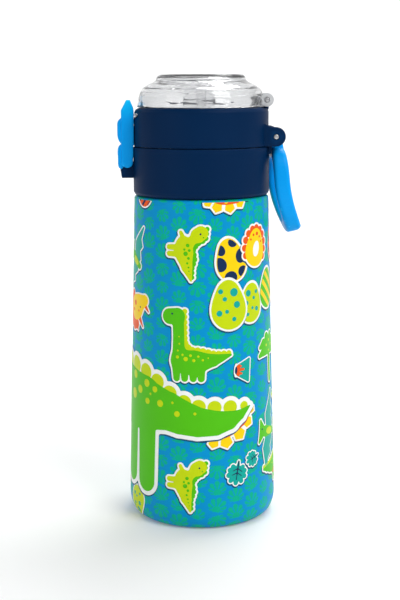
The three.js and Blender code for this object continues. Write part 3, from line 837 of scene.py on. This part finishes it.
def ink_material(name, color):
    """Satin ink that lets a little of the coat's peel through, with an uneven cover."""
    made, tree, shader = new_material("ink_" + name, color, 0.4, Specular_IOR_Level=0.16)
    grain = grained(tree, shader, 900, 0.4, 0.12, 0.03, 0.1, 90)
    thin = tuple(0.93 * part for part in color)
    tree.links.new(mixed_color(tree, grain.outputs["Patch"], thin, color), shader.inputs["Base Color"])
    return made


for ink, (blocks, polygons) in ink_meshes.items():
    layer = new_object("print_" + ink, np.concatenate(blocks), polygons, ink_material(ink, INKS[ink]))
    thickness = layer.modifiers.new("thickness", "SOLIDIFY")
    thickness.thickness = 0.02 * MM
    thickness.offset = -1
    smooth_shaded(layer, 60)
    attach(layer, "flask")


# --- Base, liner and pad ------------------------------------------------------------------------------------
# A steel cap welded into the foot, a plug where the air was drawn out of the double wall, the getter that
# keeps the vacuum, the liner that holds the drink, and the silicone pad that the bottle stands on.
def brushed_steel():
    """Steel with fine lines that run round the axis."""
    made, tree, shader = new_material("brushed_steel", (0.62, 0.62, 0.63), 0.3, Metallic=1.0, Anisotropic=0.4)
    place = node(tree, "ShaderNodeTexCoord")
    stretch = node(tree, "ShaderNodeMapping", {"Scale": (60, 60, 5200)})
    lines = node(tree, "ShaderNodeTexNoise", {"Scale": 1, "Detail": 3})
    spread = node(tree, "ShaderNodeMapRange", {"To Min": 0.22, "To Max": 0.4})
    tree.links.new(place.outputs["Object"], stretch.inputs["Vector"])
    tree.links.new(stretch.outputs["Vector"], lines.inputs["Vector"])
    tree.links.new(lines.outputs["Fac"], spread.inputs["Value"])
    tree.links.new(spread.outputs["Result"], shader.inputs["Roughness"])
    bumped(tree, shader, lines.outputs["Fac"], 0.12, 0.02)
    return made


STEEL = brushed_steel()


def finished(piece, body_name, node_name):
    """A piece that rides on a body in the place of a CAD node."""
    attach(piece, body_name)
    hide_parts(node_name)
    return piece


def moulded_material(name, color, roughness, grain_scale, depth, **sockets):
    """A moulded plastic or rubber, slightly lighter and darker in patches, with a fine grain."""
    made, tree, shader = new_material(name, color, roughness, **sockets)
    grain = grained(tree, shader, grain_scale, roughness, 0.12, depth, 0.18, 45)
    darker = tuple(0.88 * part for part in color)
    tree.links.new(mixed_color(tree, grain.outputs["Patch"], darker, color), shader.inputs["Base Color"])
    return made


PAD_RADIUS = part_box("base_pad")[1].x / MM
recess = PAD_RADIUS + GAP
finished(turned("steel_base", [
    (1.9, 1.9), (recess, 1.9), (recess + 0.8, 0.4), (29.7, 0.4), (29.7, 1.4), (recess + 1.4, 1.4),
    (recess + 0.8, 2.8), (1.9, 2.8)], 0.25, 160, STEEL), "flask", "outer_base")

RUBBER = moulded_material("pad_rubber", (0.045, 0.048, 0.05), 0.7, 1800, 0.05)
finished(turned("foot_pad", [
    (0, 0), (PAD_RADIUS - 4, 0), (PAD_RADIUS - 3.8, 0.25), (PAD_RADIUS - 3, 0.25), (PAD_RADIUS - 2.8, 0),
    (PAD_RADIUS - 0.6, 0), (PAD_RADIUS, 0.6), (PAD_RADIUS, 1.6), (0, 1.6)], 0.15, 160, RUBBER),
    "flask", "base_pad")
finished(turned("vacuum_plug", [
    (0, 1.9), (1.6, 1.9), (1.6, 3.1), (3.4, 3.1), (3.4, 4), (0, 4)], 0.2, 48, STEEL), "flask", "vacuum_seal")

getter_cup = turned("getter_cup", [(0, 5.2), (5, 5.2), (6, 6.6), (0, 6.6)], 0.2, 48, STEEL)
getter_cup.data.transform(Matrix.Translation((14 * MM, 0, 0)))
finished(getter_cup, "flask", "getter")

LINER_GAP = 3.4
liner_mouth = NECK["radius"] - WALL - GAP
liner_top, liner_foot = (float(wall_radius(np.float64(z))) - LINER_GAP for z in (158.4, 20))
finished(turned("steel_liner", [
    (0, 7), (liner_foot - 8, 7), (liner_foot - 2.6, 9.6), (liner_foot, 20), (liner_top, 158.4),
    (liner_top - 1.6, 161.2), (liner_mouth, 163.6), (liner_mouth, 182.4), (NECK["radius"], 182.4),
    (NECK["radius"], 183), (liner_mouth - WALL, 183), (liner_mouth - WALL, 163.4), (liner_top - 2.2, 160.4),
    (liner_top - WALL, 158), (liner_foot - WALL, 20), (liner_foot - 3.2, 10.2), (liner_foot - 8.2, 7.8),
    (0, 7.8)], 0.6, 200, STEEL), "flask", "inner_flask")


# --- Neck gasket --------------------------------------------------------------------------------------------
# A ring of white silicone pressed in the lid's underside. It meets the steel lip when the lid is screwed on,
# and has a shallow groove on each side so that it folds down evenly.
SILICONE = moulded_material("white_silicone", (0.80, 0.83, 0.84), 0.5, 1600, 0.03)
finished(turned("neck_seal", [
    (25.2, 183.3), (26.3, 183.3), (26.5, 183.55), (26.9, 183.55), (27.1, 183.3), (28.2, 183.3), (28.2, 184.8),
    (25.2, 184.8)], 0.15, 160, SILICONE), "seal", "neck_gasket")


# --- Collar -------------------------------------------------------------------------------------------------
# The lower navy ring, moulded in satin polypropylene. In front it carries the boss of the latch's pin, and
# behind it two knuckles for the hinge pin. The natural-coloured inner part with the thread snaps into it.
COLLAR = {"low": 164.3, "high": 188, "radius": 33.9, "inner": 31}
HINGE = {"x": 35.7, "z": 193, "bore": 1.5}
KNUCKLE = (6.5, 11.2)
LATCH = {
    "x": -36.9, "z": 180.7, "bore": 1.3, "foot": 2.9, "half": 5.5, "slot": 3.4, "pad": 4.4,
    "back": -33.2, "front": -39.8, "grip": -41.7,
}


def painted_highlight_group():
    """Painted edge highlights: a mask that is strong where the surface bends outwards, where a paler colour
    stands in for light caught on the edge.
    """
    group, given, result = new_group("painted_edge_highlights", {"Low": 0.52, "High": 0.6}, ("Mask",))
    bend = node(group, "ShaderNodeNewGeometry")
    window = node(group, "ShaderNodeMapRange")
    group.links.new(bend.outputs["Pointiness"], window.inputs["Value"])
    group.links.new(given["Low"], window.inputs["From Min"])
    group.links.new(given["High"], window.inputs["From Max"])
    group.links.new(window.outputs["Result"], result["Mask"])
    return group


# Mask for the painted highlights on outward edges, used by the navy and azure plastics.
PAINTED_EDGE_HIGHLIGHTS = painted_highlight_group()


def navy_plastic():
    """Satin navy with painted highlights on its outward edges."""
    made, tree, shader = new_material("navy_plastic", (0.0, 0.0175, 0.068), 0.5, Specular_IOR_Level=0.06)
    grain = grained(tree, shader, 1400, 0.46, 0.12, 0.03, 0.16, 40)
    edges = node(tree, "ShaderNodeGroup", node_tree=PAINTED_EDGE_HIGHLIGHTS)
    flat = mixed_color(tree, grain.outputs["Patch"], (0.0, 0.0155, 0.06), (0.0, 0.0185, 0.07))
    # Painted highlight: a paler navy on the outward edges, standing in for light caught there.
    tree.links.new(
        mixed_color(tree, edges.outputs["Mask"], flat, (0.001, 0.035, 0.12)), shader.inputs["Base Color"])
    return made


NAVY = navy_plastic()
NATURAL = moulded_material("natural_plastic", (0.72, 0.77, 0.79), 0.42, 1400, 0.02)


def arc(cx, cz, radius, start, end, steps=24):
    """Points on part of a circle, by angles in radians."""
    return [(cx + radius * math.cos(a), cz + radius * math.sin(a)) for a in np.linspace(start, end, steps)]


def side_plate(name, outline, low, high, bevel=0.5):
    """A side outline in X and Z as a plate between two places along Y, with eased rims."""
    shape = bmesh.new()
    near = [shape.verts.new((x * MM, low * MM, z * MM)) for x, z in outline]
    far = [shape.verts.new((x * MM, high * MM, z * MM)) for x, z in outline]
    count = len(outline)
    shape.faces.new(near)
    shape.faces.new(far[::-1])
    for k in range(count):
        n = (k + 1) % count
        shape.faces.new((near[k], far[k], far[n], near[n]))
    bmesh.ops.recalc_face_normals(shape, faces=shape.faces)
    if bevel:
        rims = [e for e in shape.edges if len({round(v.co.y, 7) for v in e.verts}) == 1]
        bmesh.ops.bevel(
            shape, geom=rims, offset=bevel * MM, segments=3, profile=0.5, affect="EDGES", clamp_overlap=True)
    mesh = bpy.data.meshes.new(name)
    shape.to_mesh(mesh)
    shape.free()
    made = bpy.data.objects.new(name, mesh)
    bpy.context.scene.collection.objects.link(made)
    return smooth_shaded(made)


def block(name, low, high, bevel=0.0):
    """A block between two corners."""
    (x0, y0, z0), (x1, y1, z1) = low, high
    return side_plate(name, [(x0, z0), (x1, z0), (x1, z1), (x0, z1)], y0, y1, bevel)


def rod(name, radius, half, x, z, ease=0.0, facets=64, material=None):
    """A round bar along Y."""
    made = turned(name, [(0, -half), (radius, -half), (radius, half), (0, half)], ease, facets, material)
    made.data.transform(Matrix.Translation((x * MM, 0, z * MM)) @ Matrix.Rotation(math.pi / 2, 4, "X"))
    return made


def collar_ring():
    low, high, radius, inner = (COLLAR[key] for key in ("low", "high", "radius", "inner"))
    ring = turned("collar", [
        (inner, low), (radius - 1.9, low), (radius - 0.7, low + 0.4), (radius, low + 1.7),
        (radius, high - 0.3), (radius - 0.3, high), (inner, high)], 0.5, FACETS, NAVY)
    x, z = LATCH["x"], LATCH["z"]
    boss = [
        (-inner - 1.2, 172.7), (LATCH["front"] + 0.3, 172.7), (LATCH["front"], 173.1),
        (LATCH["front"] - 0.6, 177)]
    boss += arc(x, z, 2.5, math.pi, 0) + [(-inner - 1.2, z)]
    parts = [side_plate("boss", boss, GAP - LATCH["slot"], LATCH["slot"] - GAP, 0.35)]
    knuckle = [(inner + 1.2, 183.9), (33.9, 185)] + arc(HINGE["x"], HINGE["z"], 4, -2, math.pi * 0.97, 40)
    knuckle += [(inner + 1.2, 188.4)]
    for near, far in (KNUCKLE, (-KNUCKLE[1], -KNUCKLE[0])):
        parts.append(side_plate("knuckle", knuckle, near, far, 0.4))
    combined(ring, parts, "UNION")
    cuts = [
        turned("bore", [(0, 172.4), (inner, 172.4), (inner, 190.4), (0, 190.4)], 0, FACETS),
        rod("bore", HINGE["bore"], 20, HINGE["x"], HINGE["z"]),
        rod("bore", LATCH["bore"], 20, x, z),
    ]
    return smooth_shaded(combined(ring, cuts, "DIFFERENCE"), 32)


finished(collar_ring(), "collar", "collar_shell")


def thread_part():
    skirt, outer = NECK["radius"] + THREAD["depth"] + 0.7, COLLAR["inner"] - GAP
    low, top, deck = COLLAR["low"] + 0.8, COLLAR["high"], 185.1
    part = turned("thread_part", [
        (skirt, low), (outer, low), (outer, top), (13.8, top), (13.8, 195.6), (13.3, 196.1), (12, 196.1),
        (12, top), (10.5, top), (10.5, deck), (skirt, deck)], 0.35, FACETS, NATURAL)
    rib = thread_rib("rib", skirt + 0.2, skirt - 1.2, THREAD["low"] + THREAD["pitch"] / 2)
    return smooth_shaded(combined(part, [rib], "UNION"))


finished(thread_part(), "collar", "thread_insert")


def straw_clip():
    """A tube on three arms that stand on the ledge of the drinking opening."""
    low = COLLAR["high"] + GAP
    hub = turned("straw_clip", [
        (2, 175.4), (2.6, 175.4), (3, 178.4), (3, low), (3.6, low), (3.6, 195.4), (2, 195.4)], 0.2, 64,
        NATURAL)
    arms = []
    for turn in range(3):
        arm = block("arm", (2.4, -1.2, low), (11.6, 1.2, low + 2), 0.25)
        arm.data.transform(Matrix.Rotation(math.tau * turn / 3, 4, "Z"))
        arms.append(arm)
    combined(hub, arms, "UNION")
    bore = turned("bore", [(0, 172.4), (2, 172.4), (2, 198.4), (0, 198.4)], 0, 64)
    return smooth_shaded(combined(hub, [bore], "DIFFERENCE"))


finished(straw_clip(), "collar", "straw_holder")
finished(turned("drinking_straw", [(3.3, 13), (4.1, 13), (4.1, 183.4), (3.3, 183.4)], 0.3, 64, NATURAL),
         "collar", "straw")


# --- Pins ---------------------------------------------------------------------------------------------------
# Ground steel pins with eased ends, pressed through the knuckles and ears: the main hinge pin, the cover's
# pin, the latch's pin and the short catch pin whose end shows beside the latch.
CATCH = {"x": -32.6, "z": 203.4}
COVER_HINGE = {"x": 31.5, "z": 210.8, "bore": 1.4, "barrel": 3.35, "post": 2.5, "half": 12, "lug": 5.5}
for name, radius, half, x, z, owner, cad in (
    ("main_hinge_pin", 1.2, 15.6, HINGE["x"], HINGE["z"], "collar", "hinge_pin"),
    ("latch_hinge_pin", 1.0, 4.8, LATCH["x"], LATCH["z"], "collar", "latch_pin"),
    ("cover_hinge_pin", 1.1, 12.2, COVER_HINGE["x"], COVER_HINGE["z"], "lid", "cover_pin"),
    ("catch_bar", 0.8, 7.7, CATCH["x"], CATCH["z"], "lid", "catch_pin"),
):
    finished(rod(name, radius, half, x, z, 0.35, 48, STEEL), owner, cad)


# --- Lid ring -----------------------------------------------------------------------------------------------
# The upper navy ring. It flips on the main hinge pin by its two ears, has a pocket for the latch's nose, a
# sloping notch for the thumb in front, and the post for the clear cover's pin on top at the back.
RING = {"low": 188.3, "high": 207, "radius": 33.5, "inner": 29.5}
DECK = {"z": 198.4, "thick": 2}
VALVE_PLACE = Matrix.Translation((19 * MM, 0, 0))
EAR = (11.5, 15.5)


def ring_of_lid():
    low, high, radius, inner = (RING[key] for key in ("low", "high", "radius", "inner"))
    ledge = DECK["z"] - GAP
    ring = turned("lid_ring_shell", [
        (inner, low), (radius - 0.25, low), (radius, low + 0.25), (radius, high - 1.8),
        (radius - 0.9, high - 0.3), (radius - 1.6, high), (inner, high), (inner, ledge), (inner - 2, ledge),
        (inner, ledge - 2)], 0.35, FACETS, NAVY)
    ear = [(27, HINGE["z"] - 4.7)] + arc(HINGE["x"], HINGE["z"], 4.7, -math.pi / 2, math.pi / 2)
    ear += [(33, HINGE["z"] + 4.9), (27, HINGE["z"] + 8)]
    ears = [side_plate("ear", ear, near, far, 0.5) for near, far in (EAR, (-EAR[1], -EAR[0]))]
    for piece in ears:
        core = turned("core", [(0, low - 2), (inner, low - 2), (inner, high), (0, high)], 0, FACETS)
        combined(piece, [core], "DIFFERENCE")
    lug = COVER_HINGE["lug"]
    post = [(29.4, high - 1), (33, high - 1)] + arc(
        COVER_HINGE["x"], COVER_HINGE["z"], COVER_HINGE["post"], -0.6, math.pi + 0.3)
    combined(ring, [*ears, side_plate("post", post, -lug, lug, 0.4)], "UNION")
    room = EAR[0] - 0.15
    scoop = [(-36, 202), (-33.6, 203.6), (-32.4, high - 0.9), (-30.4, high + 0.1), (-36, high + 2)]
    cuts = [
        rod("room", 4.4, room, HINGE["x"], HINGE["z"]),
        block("room", (31.3, -room, low - 1), (40, room, HINGE["z"])),
        rod("bore", HINGE["bore"], 20, HINGE["x"], HINGE["z"]),
        rod("bore", COVER_HINGE["bore"], 20, COVER_HINGE["x"], COVER_HINGE["z"]),
        rod("bore", 1.1, 12, CATCH["x"], CATCH["z"]),
        block("pocket", (-36, -3.4, 198), (-30.6, 3.4, 205), 0.4),
        side_plate("scoop", scoop, -11, 11, 0.5),
    ]
    return smooth_shaded(combined(ring, cuts, "DIFFERENCE"), 32)


finished(ring_of_lid(), "lid", "lid_ring")

deck_low, deck_high, deck_edge = DECK["z"], DECK["z"] + DECK["thick"], RING["inner"] - GAP
deck = turned("lid_plate", [
    (5.2, deck_low), (deck_edge, deck_low), (deck_edge, deck_high), (RING["inner"] - 1.5, deck_high),
    (RING["inner"] - 2, DECK["z"] + 1.6), (13, DECK["z"] + 1.6), (12.4, deck_high), (5.2, deck_high)],
    0.2, FACETS, NAVY)
valve_hole = turned("hole", [(0, 192.4), (1.8, 192.4), (1.8, 206.4), (0, 206.4)], 0, 48)
valve_hole.data.transform(VALVE_PLACE)
finished(smooth_shaded(combined(deck, [valve_hole], "DIFFERENCE")), "lid", "lid_deck")

finished(turned("spout_seal", [
    (11, 196.4), (12.3, 196.4), (12.6, 196.7), (13.2, 196.7), (13.5, 196.4), (15.2, 196.4), (15.2, 198.1),
    (11, 198.1)], 0.2, 128, SILICONE), "lid", "spout_gasket")

valve = turned("air_valve", [
    (0, 196.5), (1.2, 196.7), (2.4, 198.1), (1.4, 198.1), (1.4, 200.7), (3.2, 200.7), (2.6, 201.7), (0, 202)],
    0.2, 48, SILICONE)
valve.data.transform(VALVE_PLACE)
finished(valve, "lid", "vent_valve")


# --- Mouthpiece ---------------------------------------------------------------------------------------------
# The soft spout, one moulding in clear silicone: a stem pushed through the plate of the lid, a flange that
# rests on it, and an oval bite end that narrows upwards, with the drinking hole through the middle.
def clear_silicone():
    made, tree, shader = new_material(
        "clear_silicone", (0.98, 0.983, 0.985), 0.22, Transmission_Weight=0.89, IOR=1.07)
    grained(tree, shader, 900, 0.25, 0.06, 0.02, 0.1)
    return made


def smooth_max(first, second, reach):
    return -blended(-first, -second, reach)


def moulded(name, low, high, cell, field, material=None):
    """A closed smooth mesh round the space where field(x, y, z) is below zero."""
    axes = [np.arange(a - 2 * cell, b + 2 * cell, cell) for a, b in zip(low, high)]
    value = field(*np.meshgrid(*axes, indexing="ij", sparse=True)) + np.zeros([len(a) for a in axes])
    inside = value < 0
    corners = list(product((0, 1), repeat=3))
    shape = [n - 1 for n in value.shape]

    def at(grid, offset):
        return grid[tuple(slice(o, o + n) for o, n in zip(offset, shape))]

    count = sum(at(inside, c).astype(np.int8) for c in corners)
    cells = np.argwhere((count > 0) & (count < 8))
    number = np.full(shape, -1)
    number[tuple(cells.T)] = np.arange(len(cells))
    total, hits = np.zeros((len(cells), 3)), np.zeros(len(cells))
    for start, axis in product(corners, range(3)):
        if start[axis]:
            continue
        a = value[tuple((cells + start).T)]
        step = np.eye(3, dtype=int)[axis]
        b = value[tuple((cells + start + step).T)]
        crossed = (a < 0) != (b < 0)
        t = np.where(crossed, a / np.where(a == b, 1, a - b), 0)
        total += crossed[:, None] * (np.array(start) + t[:, None] * step)
        hits += crossed
    places = (cells + total / hits[:, None]) * cell + [a[0] for a in axes]
    for _ in range(3):
        gap = field(*places.T)
        slope = np.stack([(field(*(places + d).T) - gap) / 1e-3 for d in 1e-3 * np.eye(3)], 1)
        places -= (gap / np.maximum((slope**2).sum(1), 0.2))[:, None] * slope
    faces = []
    for axis in range(3):
        one, two = [a for a in range(3) if a != axis]
        move = np.eye(3, dtype=int)
        first = inside[tuple(slice(0, n) for n in (np.array(value.shape) - move[axis]))]
        second = inside[tuple(slice(m, None) for m in move[axis])]
        for leaving in (True, False):
            spots = np.argwhere((first != second) & (first == leaving))
            ring = [
                number[tuple((spots - d).T)]
                for d in (move[one] + move[two], move[two], 0 * move[0], move[one])]
            order = ring if leaving == (axis != 1) else ring[::-1]
            faces += np.stack(order, 1).tolist()
    made = new_object(name, places, faces, material)
    facing_out(made)
    return smooth_shaded(made, 50)


def mouthpiece_field(x, y, z):
    base = DECK["z"] + DECK["thick"] + GAP
    across = np.hypot(x, y)
    stem = np.maximum(across - 4.9 + 0.25 * np.clip(197.4 - z, 0, 2), 195.8 - z)
    flange = smooth_max(across - 11, np.abs(z - base - 0.75) - 0.75, 0.8)
    rise = np.clip((z - base) / 15, 0, 1)
    grown = 7.4 - 2.0 * rise
    bite = np.hypot((x + 1) / 1.25, y / 0.85) - grown
    bite = smooth_max(bite * 0.9, np.maximum(z - base - 16.4, base - z), 2.2)
    solid = blended(np.maximum(stem, z - base - 1), blended(flange, bite, 1.6), 0.6)
    return smooth_max(solid, 2.2 - across, 0.6)


finished(moulded("soft_spout", (-13, -12, 195.4), (12, 12, 218.4), 0.45, mouthpiece_field, clear_silicone()),
         "lid", "mouthpiece")


# --- Clear cover --------------------------------------------------------------------------------------------
# The dust cover, moulded in clear hard plastic: a dome in two tiers with a rim round its mouth, and a barrel
# on each side of the lid ring's post that the cover's pin runs through.
def clear_plastic():
    """Clear plastic with a grey cast and the faint flow lines of its moulding."""
    made, tree, shader = new_material(
        "clear_plastic", (0.88, 0.885, 0.89), 0.06, Transmission_Weight=0.95, IOR=1.42,
        Specular_IOR_Level=0.3)
    place = node(tree, "ShaderNodeTexCoord")
    stretch = node(tree, "ShaderNodeMapping", {"Scale": (34, 34, 120)})
    flow = node(tree, "ShaderNodeTexNoise", {"Scale": 1, "Detail": 2.5, "Distortion": 0.7})
    haze = node(tree, "ShaderNodeMapRange", {
        "From Min": 0.35, "From Max": 0.7, "To Min": 0.02, "To Max": 0.07})
    tree.links.new(place.outputs["Object"], stretch.inputs["Vector"])
    tree.links.new(stretch.outputs["Vector"], flow.inputs["Vector"])
    tree.links.new(flow.outputs["Fac"], haze.inputs["Value"])
    tree.links.new(haze.outputs["Result"], shader.inputs["Roughness"])
    bumped(tree, shader, flow.outputs["Fac"], 0.42, 1.8)
    return made


def frosted_plastic():
    """The same plastic where the mould was left matt, round the pin."""
    made, tree, shader = new_material(
        "frosted_plastic", (0.74, 0.75, 0.76), 0.45, Transmission_Weight=0.3, IOR=1.4)
    grained(tree, shader, 900, 0.45, 0.1, 0.03, 0.12)
    return made


def dome():
    low = 207.35
    cover = turned("dust_cover", [
        (29.7, low), (31.9, low), (31.8, low + 1.3), (31.5, low + 2.6), (31, 212), (30.2, 214.8),
        (28.9, 216.7), (27, 218.1), (24, 219.4), (22.4, 220.3), (21.8, 222.2), (20.8, 223.1), (0, 223.1),
        (0, 221.1), (19.9, 221.1), (20.6, 218.8), (25, 216.9), (27.4, 215.3), (28.8, 212.4),
        (29.4, low + 1.6)], 1.1, 192, clear_plastic())
    x, z, lug = COVER_HINGE["x"], COVER_HINGE["z"], COVER_HINGE["lug"]
    room = lug + 0.4
    cuts = [rod("room", 3.7, room, x, z), block("room", (27.4, -room, low - 1), (40, room, z))]
    combined(cover, cuts, "DIFFERENCE")
    barrels = []
    for side in (-1, 1):
        near, far = sorted((side * room, side * COVER_HINGE["half"]))
        barrel = rod("barrel", COVER_HINGE["barrel"], (far - near) / 2, x, z, 0.4)
        barrel.data.transform(Matrix.Translation((0, (near + far) / 2 * MM, 0)))
        barrels.append(barrel)
    combined(cover, barrels, "UNION")
    combined(cover, [rod("bore", COVER_HINGE["bore"], 20, x, z)], "DIFFERENCE")
    cover.data.materials.append(frosted_plastic())
    for face in cover.data.polygons:
        from_pin = math.hypot(face.center.x / MM - x, face.center.z / MM - z)
        if from_pin < COVER_HINGE["barrel"] + 0.05 and abs(face.center.y) < (COVER_HINGE["half"] + 0.1) * MM:
            face.material_index = 1
    return smooth_shaded(cover, 40)


finished(dome(), "cover", "clear_cover")


# --- Latch --------------------------------------------------------------------------------------------------
# The upright bar in front, moulded in azure plastic. It turns on the pin in the collar's boss, and its nose
# goes under the catch pin in the lid ring. Two pads give a grip, and the pointed tip is for the thumb.
def azure_plastic(name, painted_glow_low=None, painted_glow_high=None):
    """Smooth azure with painted highlights on its outward edges, and a painted glow that grows paler towards
    the thin tip.
    """
    made, tree, shader = new_material(name, (0.0, 0.32, 0.78), 0.34, Specular_IOR_Level=0.1)
    grain = grained(tree, shader, 1100, 0.34, 0.1, 0.03, 0.12, 40)
    edges = node(tree, "ShaderNodeGroup", node_tree=PAINTED_EDGE_HIGHLIGHTS)
    color = mixed_color(tree, grain.outputs["Patch"], (0.0, 0.32, 0.84), (0.0, 0.37, 0.92))
    # Painted glow: a paler azure towards the tip, standing in for light that shines through the thin plastic.
    if painted_glow_low:
        place = node(tree, "ShaderNodeTexCoord")
        split = node(tree, "ShaderNodeSeparateXYZ")
        window = node(tree, "ShaderNodeMapRange", {"From Min": painted_glow_low * MM, "From Max": painted_glow_high * MM})
        tree.links.new(place.outputs["Object"], split.inputs["Vector"])
        tree.links.new(split.outputs["Z"], window.inputs["Value"])
        color = mixed_color(tree, window.outputs["Result"], color, (0.0, 0.52, 1.0))
    # Painted highlight: a paler azure on the outward edges, standing in for light caught there.
    tree.links.new(
        mixed_color(tree, edges.outputs["Mask"], color, (0.01, 0.50, 1.0)), shader.inputs["Base Color"])
    return made


def curve(start, first, second, end, steps=12):
    """Points on a cubic curve, without its start."""
    a, b, c, d = (np.array(p, float) for p in (start, first, second, end))
    return [
        tuple(a * (1 - t) ** 3 + 3 * b * t * (1 - t) ** 2 + 3 * c * t * t * (1 - t) + d * t**3)
        for t in np.linspace(0, 1, steps + 1)[1:]
    ]


def bent(start, corner, end, steps=8):
    """Points on a curve that bends once, without its start."""
    a, b, c = (np.array(p, float) for p in (start, corner, end))
    return [
        tuple(a * (1 - t) ** 2 + 2 * b * t * (1 - t) + c * t * t) for t in np.linspace(0, 1, steps + 1)[1:]]


def latch_side():
    x, z, foot, back, front = (LATCH[key] for key in ("x", "z", "foot", "back", "front"))
    line = [
        (-37.1, 210.9), (-35.2, 210.9), (back - 0.3, 206.8), (back, 205.4), (back, 185.4), (x + foot, 182.4)]
    return line + arc(x, z, foot, 0, -math.pi) + [(front, 205.8)]


def grip_pads():
    front, grip = LATCH["front"], LATCH["grip"]
    line = [(front + 1, 178), (front, 177)] + bent(
        (front, 177), (grip, 177.4), (grip, 179.9)) + [(grip, 185.4)]
    line += bent((grip, 185.4), (grip, 188.4), (front, 189.4)) + bent(
        (front, 189.4), (grip, 191.4), (grip, 194.4))
    line += [(grip, 198.8)] + bent((grip, 198.8), (grip, 201), (front, 202))
    return line + [(front + 1, 202)]


LATCH_SIDE = latch_side()
LATCH_PADS = grip_pads()
LATCH_NOSE = [(-34.8, 198.6), (-34.8, 201.6), (-31.4, 201.4), (-31.4, 200)]


def latch_field(x, y, z):
    """The bar with its pads, hollowed at the back round both rings, and its nose, fork and pin bore."""
    wide, across = np.abs(y), np.hypot(x, y)
    bar = smooth_max(outlined(x, z, LATCH_SIDE), wide - LATCH["half"], 1.0)
    pads = smooth_max(outlined(x, z, LATCH_PADS), wide - LATCH["pad"], 1.2)
    lower = np.minimum(COLLAR["radius"] + GAP - across, 188.9 - z)
    rings = np.maximum(lower, RING["radius"] + GAP - across)
    bar = smooth_max(blended(bar, pads, 0.5), rings, 0.4)
    nose = smooth_max(outlined(x, z, LATCH_NOSE), wide - 3, 0.6)
    slot = np.maximum(wide - LATCH["slot"], z - LATCH["z"] - 3.2)
    bore = np.maximum(np.hypot(x - LATCH["x"], z - LATCH["z"]) - LATCH["bore"], wide - LATCH["half"] + 0.4)
    return np.maximum(smooth_max(np.minimum(bar, nose), -slot, 0.5), -bore)


# The last two numbers are the heights between which the painted glow at the tip fades in.
latch_bar = moulded("latch_bar", (-42, -5.6, 177.4), (-31, 5.6, 211.4), 0.3, latch_field,
                    azure_plastic("latch_plastic", 201.4, 210.4))
finished(latch_bar, "latch", "latch")


# --- Carry loop ---------------------------------------------------------------------------------------------
# A finger loop moulded in the same azure plastic. Its hub turns on the main hinge pin between the collar's
# knuckles, and the loop hangs down behind the bottle and curves away from it towards its end.
def loop_side():
    x, z = HINGE["x"], HINGE["z"]
    line = arc(x, z, 3.9, math.pi, 0, 28)
    line += curve((x + 3.9, z), (41.4, 185.4), (42.3, 178.4), (42.9, 171.4))
    line += curve((42.9, 171.4), (43.7, 162.4), (46.6, 155.4), (49.6, 148.4))
    line += bent((49.6, 148.4), (49.4, 146.4), (48.2, 145.8), 4) + [(43.9, 144.2)]
    line += bent((43.9, 144.2), (42.8, 144.4), (42.2, 146.2), 4)
    line += curve((42.2, 146.2), (38.9, 154), (35.8, 162.4), (35.2, 171.4))
    line += curve((35.2, 171.4), (34.9, 175.4), (34.6, 179.4), (34.6, 185.4))
    line += bent((34.6, 185.4), (34.6, 188), (x - 3.9, 189.8), 4)
    return line


def loop_front():
    """The outer outline from the front, and the hole in it."""
    half = 6.2
    outer = [(-half, 198.4), (-half, 187.4)]
    outer += curve((-half, 187.4), (-13, 186.8), (-15.8, 180.4), (-15.8, 169.4))
    outer += curve((-15.8, 169.4), (-15.8, 154.4), (-9, 143.7), (0, 143.7))
    outer += curve((0, 143.7), (9, 143.7), (15.8, 154.4), (15.8, 169.4))
    outer += curve((15.8, 169.4), (15.8, 180.4), (13, 186.8), (half, 187.4)) + [(half, 198.4)]
    hole = curve((0, 182), (8, 182), (11.4, 178.4), (11.4, 169.4))
    hole += curve((11.4, 169.4), (11.4, 157.4), (6.5, 150.4), (0, 150.4))
    hole += curve((0, 150.4), (-6.5, 150.4), (-11.4, 157.4), (-11.4, 169.4))
    hole += curve((-11.4, 169.4), (-11.4, 178.4), (-8, 182), (0, 182))
    return outer, hole


LOOP_SIDE = loop_side()
LOOP_OUTER, LOOP_HOLE = loop_front()


def loop_field(x, y, z):
    front = np.maximum(outlined(y, z, LOOP_OUTER), -outlined(y, z, LOOP_HOLE))
    loop = smooth_max(outlined(x, z, LOOP_SIDE), front, 2.2)
    return np.maximum(loop, HINGE["bore"] - np.hypot(x - HINGE["x"], z - HINGE["z"]))


finished(moulded(
    "finger_loop", (31.5, -16, 143.9), (50.5, 16, 197.4), 0.4, loop_field, azure_plastic("loop_plastic")),
    "loop", "carry_loop")
